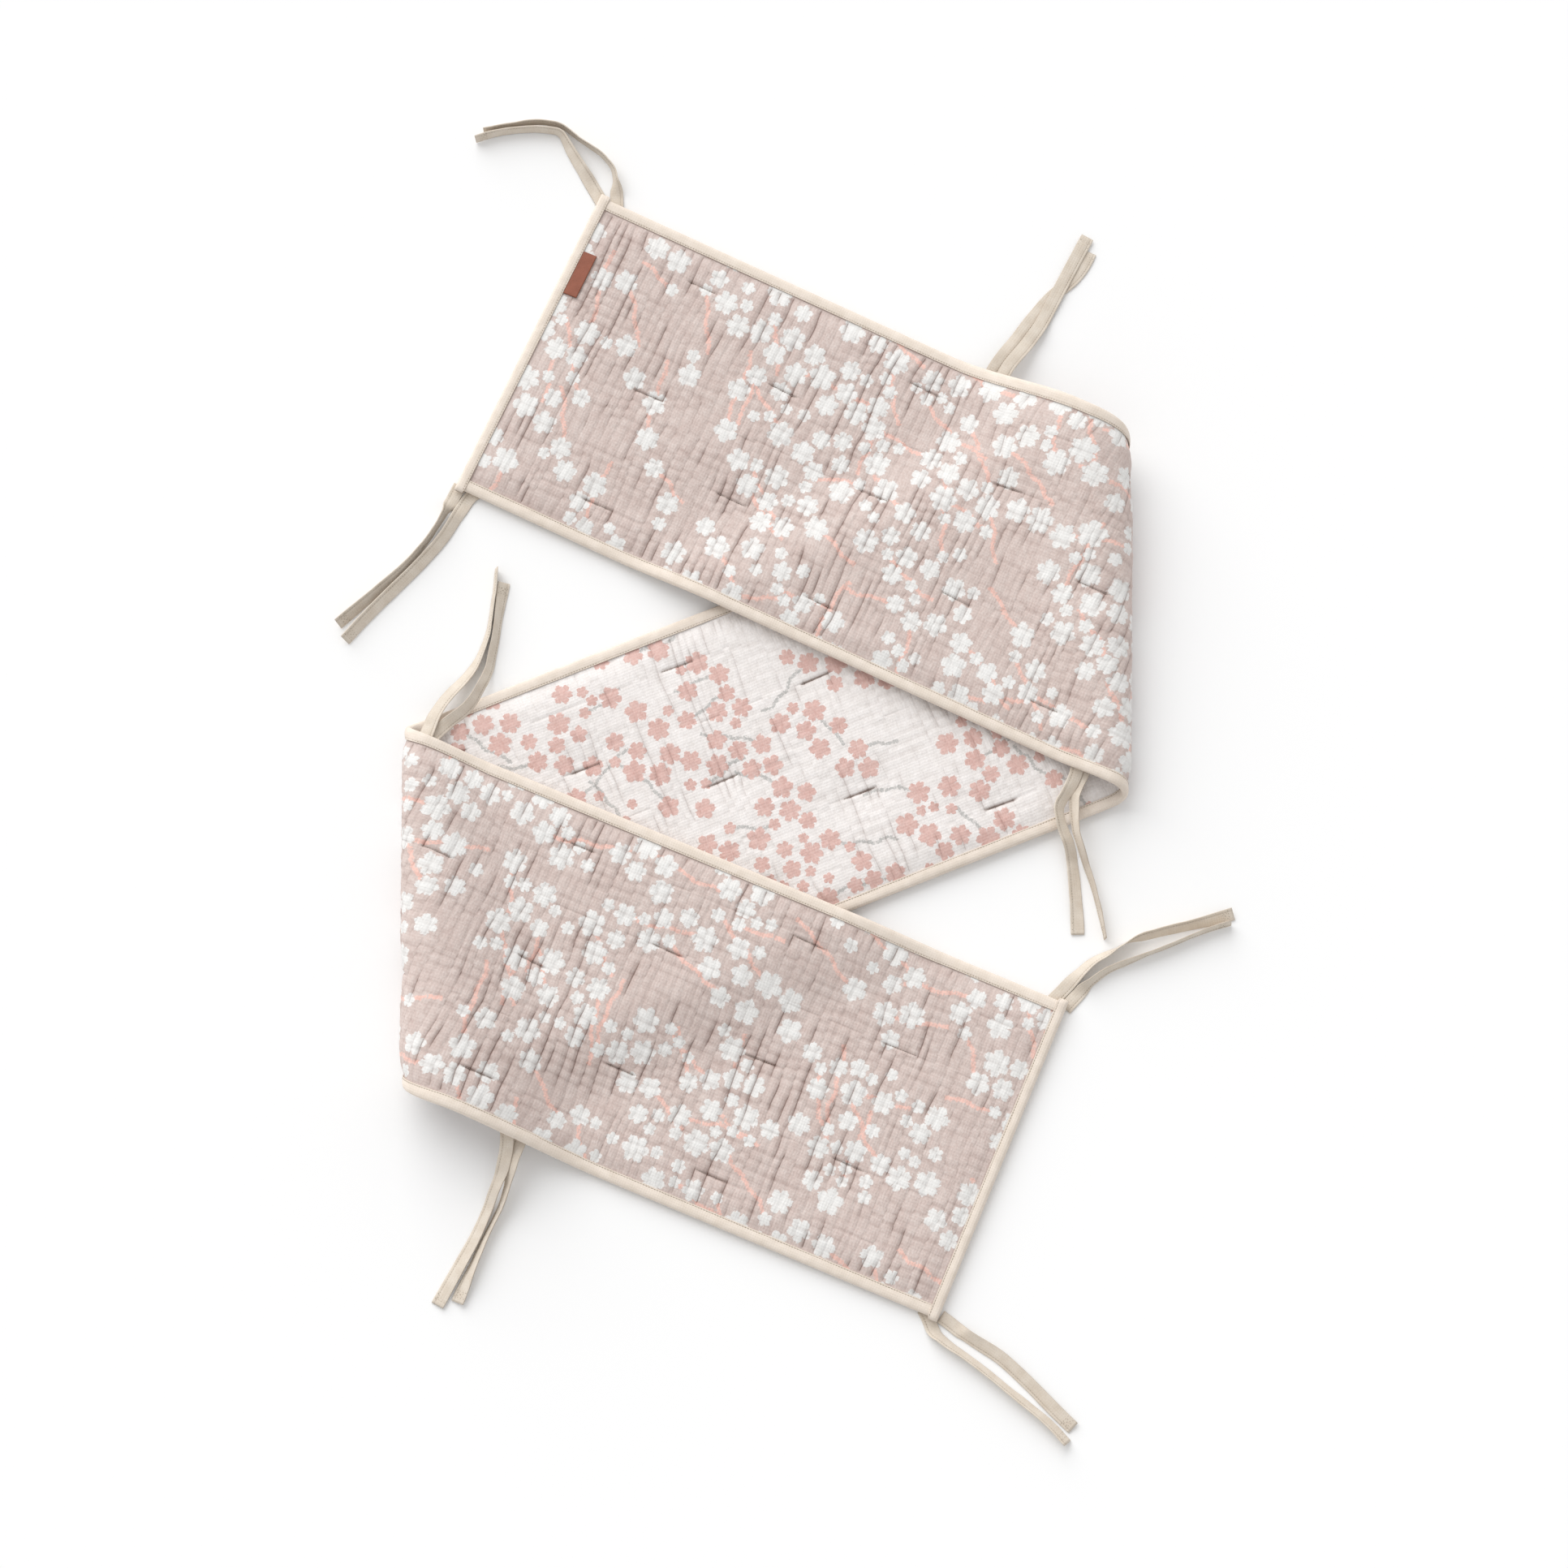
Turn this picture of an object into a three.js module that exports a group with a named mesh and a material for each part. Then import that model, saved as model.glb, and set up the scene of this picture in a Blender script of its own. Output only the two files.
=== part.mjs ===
// A quilted crib bumper: one long padded strip of muslin, bound all round, with eight pairs of ties.
// It lies folded in a Z: section A runs right, turns under into B, and B turns up and over into C.
// Millimetres, +Z up, X along the cot's length and Y away from the viewer.
import * as THREE from 'three';
import { mergeVertices } from 'three/addons/utils/BufferGeometryUtils.js';

// Driving dimensions of the flat strip
const stripLength = 1884;
const stripWidth = 300;
const gap = 0.3;

// The pad is thickest between its tufts and thin where it is bound
const pad = { crown: 6.4, rim: 1.5, endRim: 3.2, shoulder: 30, rimWidth: 12, endShoulder: 26 };
const tuft = { first: 121, pitch: 109.5, columns: 16, rise: 55.5, depth: 3.2, along: 20, across: 12 };
const panelInset = 2;
const binding = { width: 10.5, half: 3.3, wall: 1.0, spine: 1.4, edgeDrop: 0.4, endClearance: 0.5 };
const endBinding = { width: 9.5, half: 4.4, wall: 0.8, spine: 1.12, edgeDrop: 0, ear: 2.5 };
const tape = { width: 12, thickness: 1.1, tucked: 4, lift: 0.1, segments: 11 };
const label = { length: 43, width: 13, thickness: 1.4, from: 53, rise: 0.19 };

// How the strip lies: section A's start and slope, and the two folds across it
const start = { x: -230.6, y: 405.6, slope: 25.3 };
const rightFold = {
  x: 309, lean: 1.74, side: 1,
  top: { y: 313, radius: 34, rise: 50 },
  bottom: { y: -15, radius: 14, rise: 27 },
};
const leftFold = {
  x: -340, lean: 0.46, side: -1,
  top: { y: 50, radius: 13, rise: 26 },
  bottom: { y: -285, radius: 36, rise: 52 },
};

// Heights of the strip's middle surface, on the floor and where it lies on section B
const height = { floor: 6.0, layer: 20.8, clearance: 4, drop: 75, foldReach: 3.4 };

const cloths = {
  mauve: { color: 0xcdbab2, roughness: 0.95 },
  white: { color: 0xf3efeb, roughness: 0.95 },
  cotton: { color: 0xddd3c4, roughness: 0.85 },
  leather: { color: 0xa85c3c, roughness: 0.55 },
};

const half = stripWidth / 2;
const degrees = THREE.MathUtils.degToRad;
const { lerp, clamp, smoothstep } = THREE.MathUtils;

// Lay of the flat sections: where a point of the strip falls on each, seen from above

function foldLine(fold) {
  const lean = degrees(fold.lean);
  return {
    ...fold,
    origin: new THREE.Vector2(fold.x, 0),
    along: new THREE.Vector2(Math.sin(lean), Math.cos(lean)),
    out: new THREE.Vector2(Math.cos(lean), -Math.sin(lean)).multiplyScalar(fold.side),
  };
}

function mirrored(section, fold) {
  const flip = (v) => v.clone().addScaledVector(fold.out, -2 * v.dot(fold.out));
  return {
    origin: flip(section.origin.clone().sub(fold.origin)).add(fold.origin),
    along: flip(section.along),
    across: flip(section.across),
  };
}

const right = foldLine(rightFold);
const left = foldLine(leftFold);
const slope = degrees(start.slope);
const sectionA = {
  origin: new THREE.Vector2(start.x, start.y),
  along: new THREE.Vector2(Math.cos(slope), -Math.sin(slope)),
  across: new THREE.Vector2(Math.sin(slope), Math.cos(slope)),
};
const sectionB = mirrored(sectionA, right);
const sectionC = mirrored(sectionB, left);

function pointOn(section, s, t) {
  return section.origin.clone().addScaledVector(section.along, s).addScaledVector(section.across, t);
}

// A fold's half-turn is half an oval, whose radius and rise change along the crease and a little beyond
// its two ends. Its length follows from the two.
const foldOverrun = 0.1;

function foldAt(fold, y) {
  const share = clamp((y - fold.bottom.y) / (fold.top.y - fold.bottom.y), -foldOverrun, 1 + foldOverrun);
  const radius = lerp(fold.bottom.radius, fold.top.radius, share);
  const rise = lerp(fold.bottom.rise, fold.top.rise, share);
  const arc = (Math.PI / 2) * Math.sqrt((radius ** 2 + (rise / 2) ** 2) / 2);
  return { radius, rise, arc };
}

// Height of a section that lies over B's edge, with edge 1 for its upper edge and -1 for its lower one
function restingHeight(point, edge) {
  const beyond = edge * point.clone().sub(sectionB.origin).dot(sectionB.across) - half;
  const drop = smoothstep(beyond, height.clearance, height.clearance + height.drop);
  return lerp(height.layer, height.floor, drop);
}

// A point of the strip's middle surface: flat, round the first fold, flat, round the second, flat
function middle(s, t) {
  const a = pointOn(sectionA, s, t);
  const fromRight = a.clone().sub(right.origin);
  const pastRight = fromRight.dot(right.out);
  const rightTurn = foldAt(right, fromRight.dot(right.along));
  if (pastRight < rightTurn.arc) {
    return roundFold(a, right, pastRight, rightTurn, 1);
  }
  const b = pointOn(sectionB, s, t);
  const fromLeft = b.clone().sub(left.origin);
  const pastLeft = fromLeft.dot(left.out);
  const leftTurn = foldAt(left, fromLeft.dot(left.along));
  if (pastLeft < -leftTurn.arc) {
    return new THREE.Vector3(b.x, b.y, height.floor);
  }
  return roundFold(pointOn(sectionC, s, t), left, -pastLeft, leftTurn, -1);
}

// A point of an upper section or of the half-turn below it. past is its distance past the crease, and
// edge is the edge of B that the upper section crosses.
function roundFold(flat, fold, past, turn, edge) {
  const { radius, rise, arc } = turn;
  if (past < -arc) {
    const rest = restingHeight(flat, edge);
    const fade = 1 - smoothstep(-past - arc, 0, height.foldReach * radius);
    return new THREE.Vector3(flat.x, flat.y, lerp(rest, height.floor + rise, fade));
  }
  const angle = (Math.PI / 2) * (1 + past / arc);
  const bent = flat.clone().addScaledVector(fold.out, radius * Math.sin(angle) - arc - past);
  return new THREE.Vector3(bent.x, bent.y, height.floor + (rise / 2) * (1 + Math.cos(angle)));
}

// A point w above the middle surface on its mauve side. What would sink into the floor lies flat on it.
function carried(s, t, w) {
  const nearby = 0.5;
  const point = middle(s, t);
  const along = middle(s + nearby, t).sub(middle(s - nearby, t));
  const across = middle(s, t + nearby).sub(middle(s, t - nearby));
  const normal = along.cross(across).normalize();
  point.addScaledVector(normal, w);
  point.z = Math.max(point.z, 0);
  return point;
}

// Half the pad's thickness at a point of the strip

const tufts = [];
for (let column = 0; column < tuft.columns; column += 1) {
  const rows = column % 2 === 0 ? [-2, 0, 2] : [-1, 1];
  for (const row of rows) {
    tufts.push({ s: tuft.first + column * tuft.pitch, t: row * tuft.rise });
  }
}

function padHalf(s, t) {
  const fromEdge = half - Math.abs(t) - pad.rimWidth;
  const fromEnd = Math.min(s, stripLength - s) - pad.rimWidth;
  const rim = lerp(pad.rim, pad.endRim, smoothstep(fromEdge, 0, pad.shoulder));
  const swell = (distance, width) => 1 - (1 - clamp(distance / width, 0, 1)) ** 2;
  let thick = lerp(rim, pad.crown, swell(fromEdge, pad.shoulder) * swell(fromEnd, pad.endShoulder));
  for (const spot of tufts) {
    const away = ((s - spot.s) / tuft.along) ** 2 + ((t - spot.t) / tuft.across) ** 2;
    thick -= tuft.depth * Math.exp(-away / 2);
  }
  return Math.max(thick, pad.rim);
}

// Places along and across the strip where its mesh has vertices: on the tufts and halfway between
// them, and closer in the folds

const foldZones = [
  { from: 492, to: 692 },
  { from: 1222, to: 1418 },
];
const inFold = (s) => foldZones.some((zone) => s > zone.from && s < zone.to);
const finePerCoarse = 4;
const coarseStep = tuft.pitch / 2;
const coarseSteps = 2 * (tuft.columns - 1);
const rowsAcross = 4;

function stationsAlong(inset) {
  const toShoulder = pad.rimWidth + pad.endShoulder;
  const found = [inset, pad.rimWidth, toShoulder];
  for (let i = -finePerCoarse; i <= coarseSteps * finePerCoarse; i += 1) {
    const s = tuft.first + (i * coarseStep) / finePerCoarse;
    if (inFold(s) || i % finePerCoarse === 0) {
      found.push(s);
    }
  }
  found.push(stripLength - toShoulder, stripLength - pad.rimWidth, stripLength - inset);
  return found.sort((a, b) => a - b);
}

function stationsAcross(reach) {
  const found = [-reach, reach, -half + pad.rimWidth, half - pad.rimWidth];
  for (let row = -rowsAcross; row <= rowsAcross; row += 1) {
    found.push((row * tuft.rise) / 2);
  }
  return found.sort((a, b) => a - b);
}

// Splits each four-sided face along the same diagonal of the strip, so that pieces that lie against
// each other bend alike. A box and an extrusion both list such a face as a, b, d and b, c, d.
function alignDiagonals(index, flat) {
  for (let i = 0; i < index.count; i += 6) {
    const [a, b, d] = [0, 1, 2].map((corner) => index.getX(i + corner));
    const c = index.getX(i + 4);
    const isFace = index.getX(i + 3) === b && index.getX(i + 5) === d;
    const lean = (flat[d].x - flat[b].x) * (flat[d].y - flat[b].y);
    if (isFace && lean > 0) {
      [a, b, c, a, c, d].forEach((corner, k) => index.setX(i + k, corner));
    }
  }
}

// The geometry with its vertices taken to their place on the flat strip, then to where that lies
function laid(geometry, flatPlace, lay) {
  const weldDistance = 1e-4;
  geometry.deleteAttribute('normal');
  geometry.deleteAttribute('uv');
  const joined = mergeVertices(geometry, weldDistance);
  const position = joined.getAttribute('position');
  const flat = [];
  for (let i = 0; i < position.count; i += 1) {
    flat.push(flatPlace(position.getX(i), position.getY(i), position.getZ(i)));
  }
  alignDiagonals(joined.getIndex(), flat);
  flat.forEach((place, i) => {
    const { x, y, z } = lay(place.x, place.y, place.z);
    position.setXYZ(i, x, y, z);
  });
  joined.computeVertexNormals();
  return joined;
}

const bumper = new THREE.Group();

function addPiece(name, geometry, cloth) {
  const mesh = new THREE.Mesh(geometry, new THREE.MeshStandardMaterial({ ...cloth, metalness: 0 }));
  mesh.name = name;
  bumper.add(mesh);
}

// The two quilted faces, each with its half of the loft. side is 1 for the mauve face.
function panel(side) {
  const along = stationsAlong(panelInset);
  const across = stationsAcross(half - panelInset);
  const columns = along.length - 1;
  const rows = across.length - 1;
  const grid = new THREE.BoxGeometry(columns, rows, 1, columns, rows, 1);
  const onStrip = (x, y, z) => {
    const s = along[Math.round(x + columns / 2)];
    const t = across[Math.round(y + rows / 2)];
    const outside = z * side > 0;
    return new THREE.Vector3(s, t, side * (outside ? padHalf(s, t) : gap / 2));
  };
  return laid(grid, onStrip, carried);
}

addPiece('panel_front', panel(1), cloths.mauve);
addPiece('panel_back', panel(-1), cloths.white);

// Bindings: a strip of cotton folded over the edge, open towards the pad and thicker at its fold

function channel({ width, half: outer, wall, spine, edgeDrop }) {
  const inner = outer - wall;
  const shape = new THREE.Shape();
  shape.moveTo(-width, outer);
  shape.lineTo(-width, inner);
  shape.lineTo(-spine, inner - edgeDrop);
  shape.lineTo(-spine, edgeDrop - inner);
  shape.lineTo(-width, -inner);
  shape.lineTo(-width, -outer);
  shape.lineTo(0, edgeDrop - outer);
  shape.lineTo(0, outer - edgeDrop);
  shape.closePath();
  return shape;
}

function longBinding(edge) {
  const along = stationsAlong(endBinding.spine + binding.endClearance);
  const columns = along.length - 1;
  const profile = channel(binding);
  const bar = new THREE.ExtrudeGeometry(profile, { depth: columns, steps: columns, bevelEnabled: false });
  const onStrip = (x, y, z) => {
    const step = Math.round(z);
    return new THREE.Vector3(along[edge > 0 ? step : columns - step], edge * (half + x), y);
  };
  return laid(bar, onStrip, carried);
}

function endCap(end) {
  const reach = half + endBinding.ear;
  const across = stationsAcross(reach);
  const rows = across.length - 1;
  const profile = channel(endBinding);
  const bar = new THREE.ExtrudeGeometry(profile, { depth: rows, steps: rows, bevelEnabled: false });
  const onStrip = (x, y, z) => {
    const step = Math.round(z);
    return new THREE.Vector3(end > 0 ? stripLength + x : -x, across[end > 0 ? rows - step : step], y);
  };
  return laid(bar, onStrip, carried);
}

addPiece('binding_edge_1', longBinding(1), cloths.cotton);
addPiece('binding_edge_2', longBinding(-1), cloths.cotton);
addPiece('binding_end_A', endCap(-1), cloths.cotton);
addPiece('binding_end_C', endCap(1), cloths.cotton);

// The bare leather label lies on the mauve face against the binding of section A's end
function leatherLabel() {
  const s0 = endBinding.width + gap;
  const plate = new THREE.BoxGeometry(label.width, label.length, label.thickness, 2, 3, 1);
  const onStrip = (x, y, z) => {
    const s = s0 + label.width / 2 + x;
    const under = pad.endRim + 2 * gap + (s - s0) * label.rise;
    return new THREE.Vector3(s, label.from + label.length / 2 + y, under + label.thickness / 2 + z);
  };
  return laid(plate, onStrip, carried);
}

addPiece('label', leatherLabel(), cloths.leather);

// Ties: tapes sewn in pairs to the white side of the binding. Each starts flat, at a place along edge 1
// or -1 of the strip, with its heading there and its depth under the binding. Each row is a place along
// the tape: its distance from the root, the way it heads, the height of what it lies on, and how far it
// is turned about its own length, with its left edge up where roll is above zero.
const columnNames = ['at', 'heading', 'base', 'roll'];
const ties = [
  { name: 'tie_1a', edge: 1, s: 4, heading: 119, under: 0, rows: [
    [16, 120, 0.1, 0], [40, 122, 0.1, -35], [58, 120, 0.1, -48], [70, 116, 0.1, -62],
    [84, 171, 0.1, -76], [112, 185, 0.1, -78], [155, 199, 0.1, -74]] },
  { name: 'tie_1b', edge: 1, s: 18.5, heading: 91, under: 0.5, rows: [
    [12, 91, 0.1, 0], [30, 98, 0.1, -70], [48, 130, 0.1, -84], [68, 147, 0.1, -86],
    [92, 140, 0.1, -86], [112, 171, 0.1, -85], [140, 191, 0.1, -84], [173, 191, 0.1, -82]] },
  { name: 'tie_2a', edge: -1, s: 18.5, heading: 215, under: 0.5, rows: [
    [16, 239, 0.1, 0], [32, 240, 0.1, -34], [75, 228, 0.1, -38], [110, 225, 0.1, -38],
    [179, 229, 0.1, -40]] },
  { name: 'tie_2b', edge: -1, s: 2.5, heading: 243, under: 0, rows: [
    [16, 243, 0.1, 0], [29, 243, 0.1, -70], [48, 238, 0.1, -78], [75, 231, 0.1, -68],
    [110, 221, 0.1, -54], [169, 221, 0.1, -42]] },
  { name: 'tie_3a', edge: 1, s: 402, heading: 70, under: 3.4, rows: [
    [25, 51, 14, 0], [50, 55, 6, 4], [80, 63, 1.6, 4], [160, 62, 1.5, 4]] },
  { name: 'tie_3b', edge: 1, s: 390, heading: 62, under: 5.2, rows: [
    [25, 52, 10, 0], [50, 55, 2.5, 0], [80, 51, 0.1, 0], [110, 39, 0.1, 0], [152, 66, 0.1, 0]] },
  { name: 'tie_4a', edge: -1, s: 611, heading: 262, under: 2, rows: [
    [16, 244, 18, -20], [32, 236, 14.5, -40], [50, 282, 13, -48], [66, 293, 11, -30],
    [92, 276, 0.1, -30], [120, 274, 0.1, -22], [154, 272, 0.1, -2]] },
  { name: 'tie_4b', edge: -1, s: 618, heading: 246, under: 6, rows: [
    [16, 247, 14, 30], [32, 269, 13.2, 45], [52, 275, 13, 58], [66, 289, 11, 64],
    [92, 289, 0.1, 70], [120, 283, 0.1, 76], [155, 280, 0.1, 84]] },
  { name: 'tie_5a', edge: 1, s: 1271, heading: 75, under: 3, rows: [
    [18, 71, 18, -14], [34, 60, 12, -28], [48, 50, 9.8, -32], [74, 52, 0.1, -42],
    [96, 68, 0.1, -60], [130, 82, 0.1, -72], [176, 86, 0.1, -76]] },
  { name: 'tie_5b', edge: 1, s: 1277, heading: 87, under: 6, rows: [
    [14, 44, 15, 10], [34, 37, 13.2, 35], [66, 63, 12.5, 50], [94, 78, 0.1, 55],
    [130, 83, 0.1, 58], [169, 81, 0.1, 30]] },
  { name: 'tie_6a', edge: 1, s: 1869, heading: 42, under: 0, rows: [
    [18, 46, 0.1, 0], [42, 44, 0.1, -45], [62, 27, 0.1, -58], [80, 30, 0.1, -80],
    [106, 15, 0.1, -120], [136, 13, 0.1, -128], [185, 17, 0.1, -158]] },
  { name: 'tie_6b', edge: 1, s: 1883.2, heading: 48, under: 0, rows: [
    [16, 47, 0.1, 0], [34, 39, 0.1, 60], [64, 22, 0.1, 72], [94, 21, 0.1, 84],
    [126, 23, 0.1, 82], [168, 16, 0.1, 76]] },
  { name: 'tie_7a', edge: -1, s: 1885.3, heading: 325, under: 0, rows: [
    [16, 321, 0.1, 0], [28, 326, 0.1, 32], [46, 329, 0.1, 20], [78, 317, 0.1, 17],
    [112, 314, 0.1, 16], [150, 316, 0.1, 10]] },
  { name: 'tie_7b', edge: -1, s: 1869.1, heading: 299, under: 0, rows: [
    [16, 290, 0.1, 0], [30, 321, 0.1, -44], [50, 325, 0.1, -55], [90, 321, 0.1, -55],
    [130, 321, 0.1, -52], [172, 311, 0.1, -48]] },
  { name: 'tie_8a', edge: -1, s: 1476.5, heading: 271, under: 4.8, rows: [
    [24, 258, 25, 0], [44, 246, 12, 34], [70, 249, 0.1, 38], [110, 241, 0.1, 28],
    [162, 241, 0.1, 8]] },
  { name: 'tie_8b', edge: -1, s: 1489.5, heading: 246, under: 6.5, rows: [
    [24, 256, 21, 34], [44, 255, 9, 58], [70, 243, 0.1, 64], [110, 247, 0.1, 56],
    [152, 247, 0.1, 18]] },
];

function rowAt(rows, distance) {
  const next = rows.findIndex((row) => row[0] >= distance);
  const after = rows[Math.max(next, 1)];
  const before = rows[Math.max(next, 1) - 1];
  const share = (distance - before[0]) / (after[0] - before[0]);
  const eased = share * share * (3 - 2 * share);
  return Object.fromEntries(columnNames.map((key, i) => [key, lerp(before[i], after[i], eased)]));
}

// Frames along a tape: its middle, and the directions across its width and through it
function tapeFrames(tie) {
  const root = middle(tie.s, tie.edge * (half - tape.tucked));
  const fromEnd = Math.min(tie.s, stripLength - tie.s);
  const above = fromEnd < endBinding.width + tape.width / 2 ? endBinding.half : binding.half;
  const rootBase = Math.max(root.z - above - gap - tape.thickness - tie.under, tape.lift);
  const rows = [[0, tie.heading, rootBase, 0], ...tie.rows];
  const length = rows[rows.length - 1][0];
  const stepsPerFrame = 4;
  const count = tape.segments * stepsPerFrame;
  const frames = [];
  const spot = new THREE.Vector2(root.x, root.y);
  for (let i = 0; i <= count; i += 1) {
    const { heading, base, roll } = rowAt(rows, (length * i) / count);
    const turn = degrees(heading);
    const tilt = degrees(roll);
    if (i > 0) {
      spot.addScaledVector(new THREE.Vector2(Math.cos(turn), Math.sin(turn)), length / count);
    }
    const across = new THREE.Vector3(
      -Math.sin(turn) * Math.cos(tilt),
      Math.cos(turn) * Math.cos(tilt),
      Math.sin(tilt),
    );
    const ahead = new THREE.Vector3(Math.cos(turn), Math.sin(turn), 0);
    const through = ahead.clone().cross(across);
    const flat = Math.abs(Math.cos(tilt)) * tape.thickness;
    const lift = (Math.abs(Math.sin(tilt)) * tape.width + flat) / 2;
    if (i % stepsPerFrame === 0) {
      frames.push({ point: new THREE.Vector3(spot.x, spot.y, base + lift), across, through });
    }
  }
  return frames;
}

function tieTape(tie) {
  const frames = tapeFrames(tie);
  const count = tape.segments;
  const band = new THREE.BoxGeometry(count, tape.width, tape.thickness, count, 1, 1);
  const onTape = (x, y, z) => new THREE.Vector3(Math.round(x + count / 2), y, z);
  return laid(band, onTape, (step, y, z) => {
    const { point, across, through } = frames[step];
    return point.clone().addScaledVector(across, y).addScaledVector(through, z);
  });
}

for (const tie of ties) {
  addPiece(tie.name, tieTape(tie), cloths.cotton);
}

// The origin goes under the middle of everything, on the floor
const box = new THREE.Box3().setFromObject(bumper, true);
const centre = box.getCenter(new THREE.Vector3());
bumper.position.set(-centre.x, -centre.y, -box.min.z);

export default bumper;
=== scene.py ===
# Crib bumper: a quilted muslin strip folded in a Z, with bound edges, tufts and pairs of tape ties.
import math
from functools import partial

import bpy
import numpy as np
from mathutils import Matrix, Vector


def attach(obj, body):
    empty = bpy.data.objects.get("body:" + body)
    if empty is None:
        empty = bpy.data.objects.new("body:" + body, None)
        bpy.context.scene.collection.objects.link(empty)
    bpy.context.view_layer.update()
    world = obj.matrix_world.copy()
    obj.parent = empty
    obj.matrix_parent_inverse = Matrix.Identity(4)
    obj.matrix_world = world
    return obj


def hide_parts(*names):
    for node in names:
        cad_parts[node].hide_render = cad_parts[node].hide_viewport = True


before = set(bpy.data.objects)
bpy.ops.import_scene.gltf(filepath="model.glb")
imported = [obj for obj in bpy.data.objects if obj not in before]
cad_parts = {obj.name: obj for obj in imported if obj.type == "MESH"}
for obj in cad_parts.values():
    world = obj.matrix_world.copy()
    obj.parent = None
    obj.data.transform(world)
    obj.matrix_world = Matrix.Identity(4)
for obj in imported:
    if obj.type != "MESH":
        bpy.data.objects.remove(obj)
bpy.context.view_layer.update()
mm = 0.001
shift = np.array([1.4957, -13.6423, 0.0])  # the strip's own frame to the part's frame, in mm


# small helpers

def colour(hexCode):
    channels = [int(hexCode[i:i + 2], 16) / 255 for i in (1, 3, 5)]
    linear = [c / 12.92 if c <= 0.04045 else ((c + 0.055) / 1.055) ** 2.4 for c in channels]
    return (*linear, 1.0)


def addNode(tree, kind, links=(), out=0, **settings):
    # kind is a node's full name, or a shader node's without its first words; links is a list of (input,
    # socket or value); out is the output to return, or None for all of them
    node = tree.nodes.new(kind if "Node" in kind else "ShaderNode" + kind)
    for key, value in settings.items():
        setattr(node, key, value)
    for name, value in dict(links).items():
        if isinstance(value, bpy.types.NodeSocket):
            tree.links.new(value, node.inputs[name])
        else:
            node.inputs[name].default_value = value
    return node.outputs if out is None else node.outputs[out]


def smoothstep(x, low, high):
    x = np.clip((x - low) / (high - low), 0, 1)
    return x * x * (3 - 2 * x)


def smoothNoise(x, y, seed):
    # value noise from -1 to 1 on a lattice of unit cells
    size = 256
    table = np.random.default_rng(seed).uniform(-1, 1, (size, size))
    ix, iy = np.floor(x).astype(int), np.floor(y).astype(int)
    fx, fy = x - ix, y - iy
    fx, fy = fx * fx * (3 - 2 * fx), fy * fy * (3 - 2 * fy)
    at = lambda i, j: table[(ix + i) % size, (iy + j) % size]
    low = at(0, 0) * (1 - fx) + at(1, 0) * fx
    high = at(0, 1) * (1 - fx) + at(1, 1) * fx
    return low * (1 - fy) + high * fy


# camera: the photograph's steep view from the front
view = {"elevation": 79.0, "distance": 4.5, "focalPixels": 6248.8, "frame": 1932, "sensor": 36.0}
tilt = math.radians(view["elevation"])
target = Vector(shift * mm)
cameraData = bpy.data.cameras.new("camera")
cameraData.sensor_width = view["sensor"]
cameraData.lens = view["focalPixels"] / view["frame"] * view["sensor"]
cameraData.clip_end = 50
camera = bpy.data.objects.new("camera", cameraData)
camera.location = target + view["distance"] * Vector((0, -math.cos(tilt), math.sin(tilt)))
camera.rotation_euler = (math.pi / 2 - tilt, 0, 0)
bpy.context.scene.collection.objects.link(camera)
bpy.context.scene.camera = camera
print("camera placed")

# the lay of the strip, in mm, as in the frame model
strip = {"length": 1884.0, "width": 300.0, "start": (-230.6, 405.6), "slope": 25.3}
half = strip["width"] / 2
folds = {
    "right": {
        "x": 309.0, "lean": 1.74, "side": 1, "y": (-15.0, 313.0),
        "radius": (14.0, 34.0), "rise": (27.0, 50.0),
    },
    "left": {
        "x": -340.0, "lean": 0.46, "side": -1, "y": (-285.0, 50.0),
        "radius": (36.0, 13.0), "rise": (52.0, 26.0),
    },
}
heights = {"floor": 6.0, "layer": 20.8, "clearance": 4.0, "drop": 75.0, "foldReach": 3.4}


def foldLine(fold):
    lean = math.radians(fold["lean"])
    return {
        **fold,
        "origin": np.array([fold["x"], 0.0]),
        "along": np.array([math.sin(lean), math.cos(lean)]),
        "out": fold["side"] * np.array([math.cos(lean), -math.sin(lean)]),
    }


def mirrored(section, fold):
    flip = lambda v: v - 2 * (v @ fold["out"]) * fold["out"]
    return {
        "origin": flip(section["origin"] - fold["origin"]) + fold["origin"],
        "along": flip(section["along"]),
        "across": flip(section["across"]),
    }


right, left = foldLine(folds["right"]), foldLine(folds["left"])
slope = math.radians(strip["slope"])
sectionA = {
    "origin": np.array(strip["start"]),
    "along": np.array([math.cos(slope), -math.sin(slope)]),
    "across": np.array([math.sin(slope), math.cos(slope)]),
}
sectionB = mirrored(sectionA, right)
sectionC = mirrored(sectionB, left)


def onSection(section, s, t):
    return section["origin"] + s[:, None] * section["along"] + t[:, None] * section["across"]


def foldAt(fold, y):
    overrun = 0.1
    share = np.clip((y - fold["y"][0]) / (fold["y"][1] - fold["y"][0]), -overrun, 1 + overrun)
    radius = fold["radius"][0] + share * (fold["radius"][1] - fold["radius"][0])
    rise = fold["rise"][0] + share * (fold["rise"][1] - fold["rise"][0])
    arc = (math.pi / 2) * np.sqrt((radius ** 2 + (rise / 2) ** 2) / 2)
    return radius, rise, arc


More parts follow.
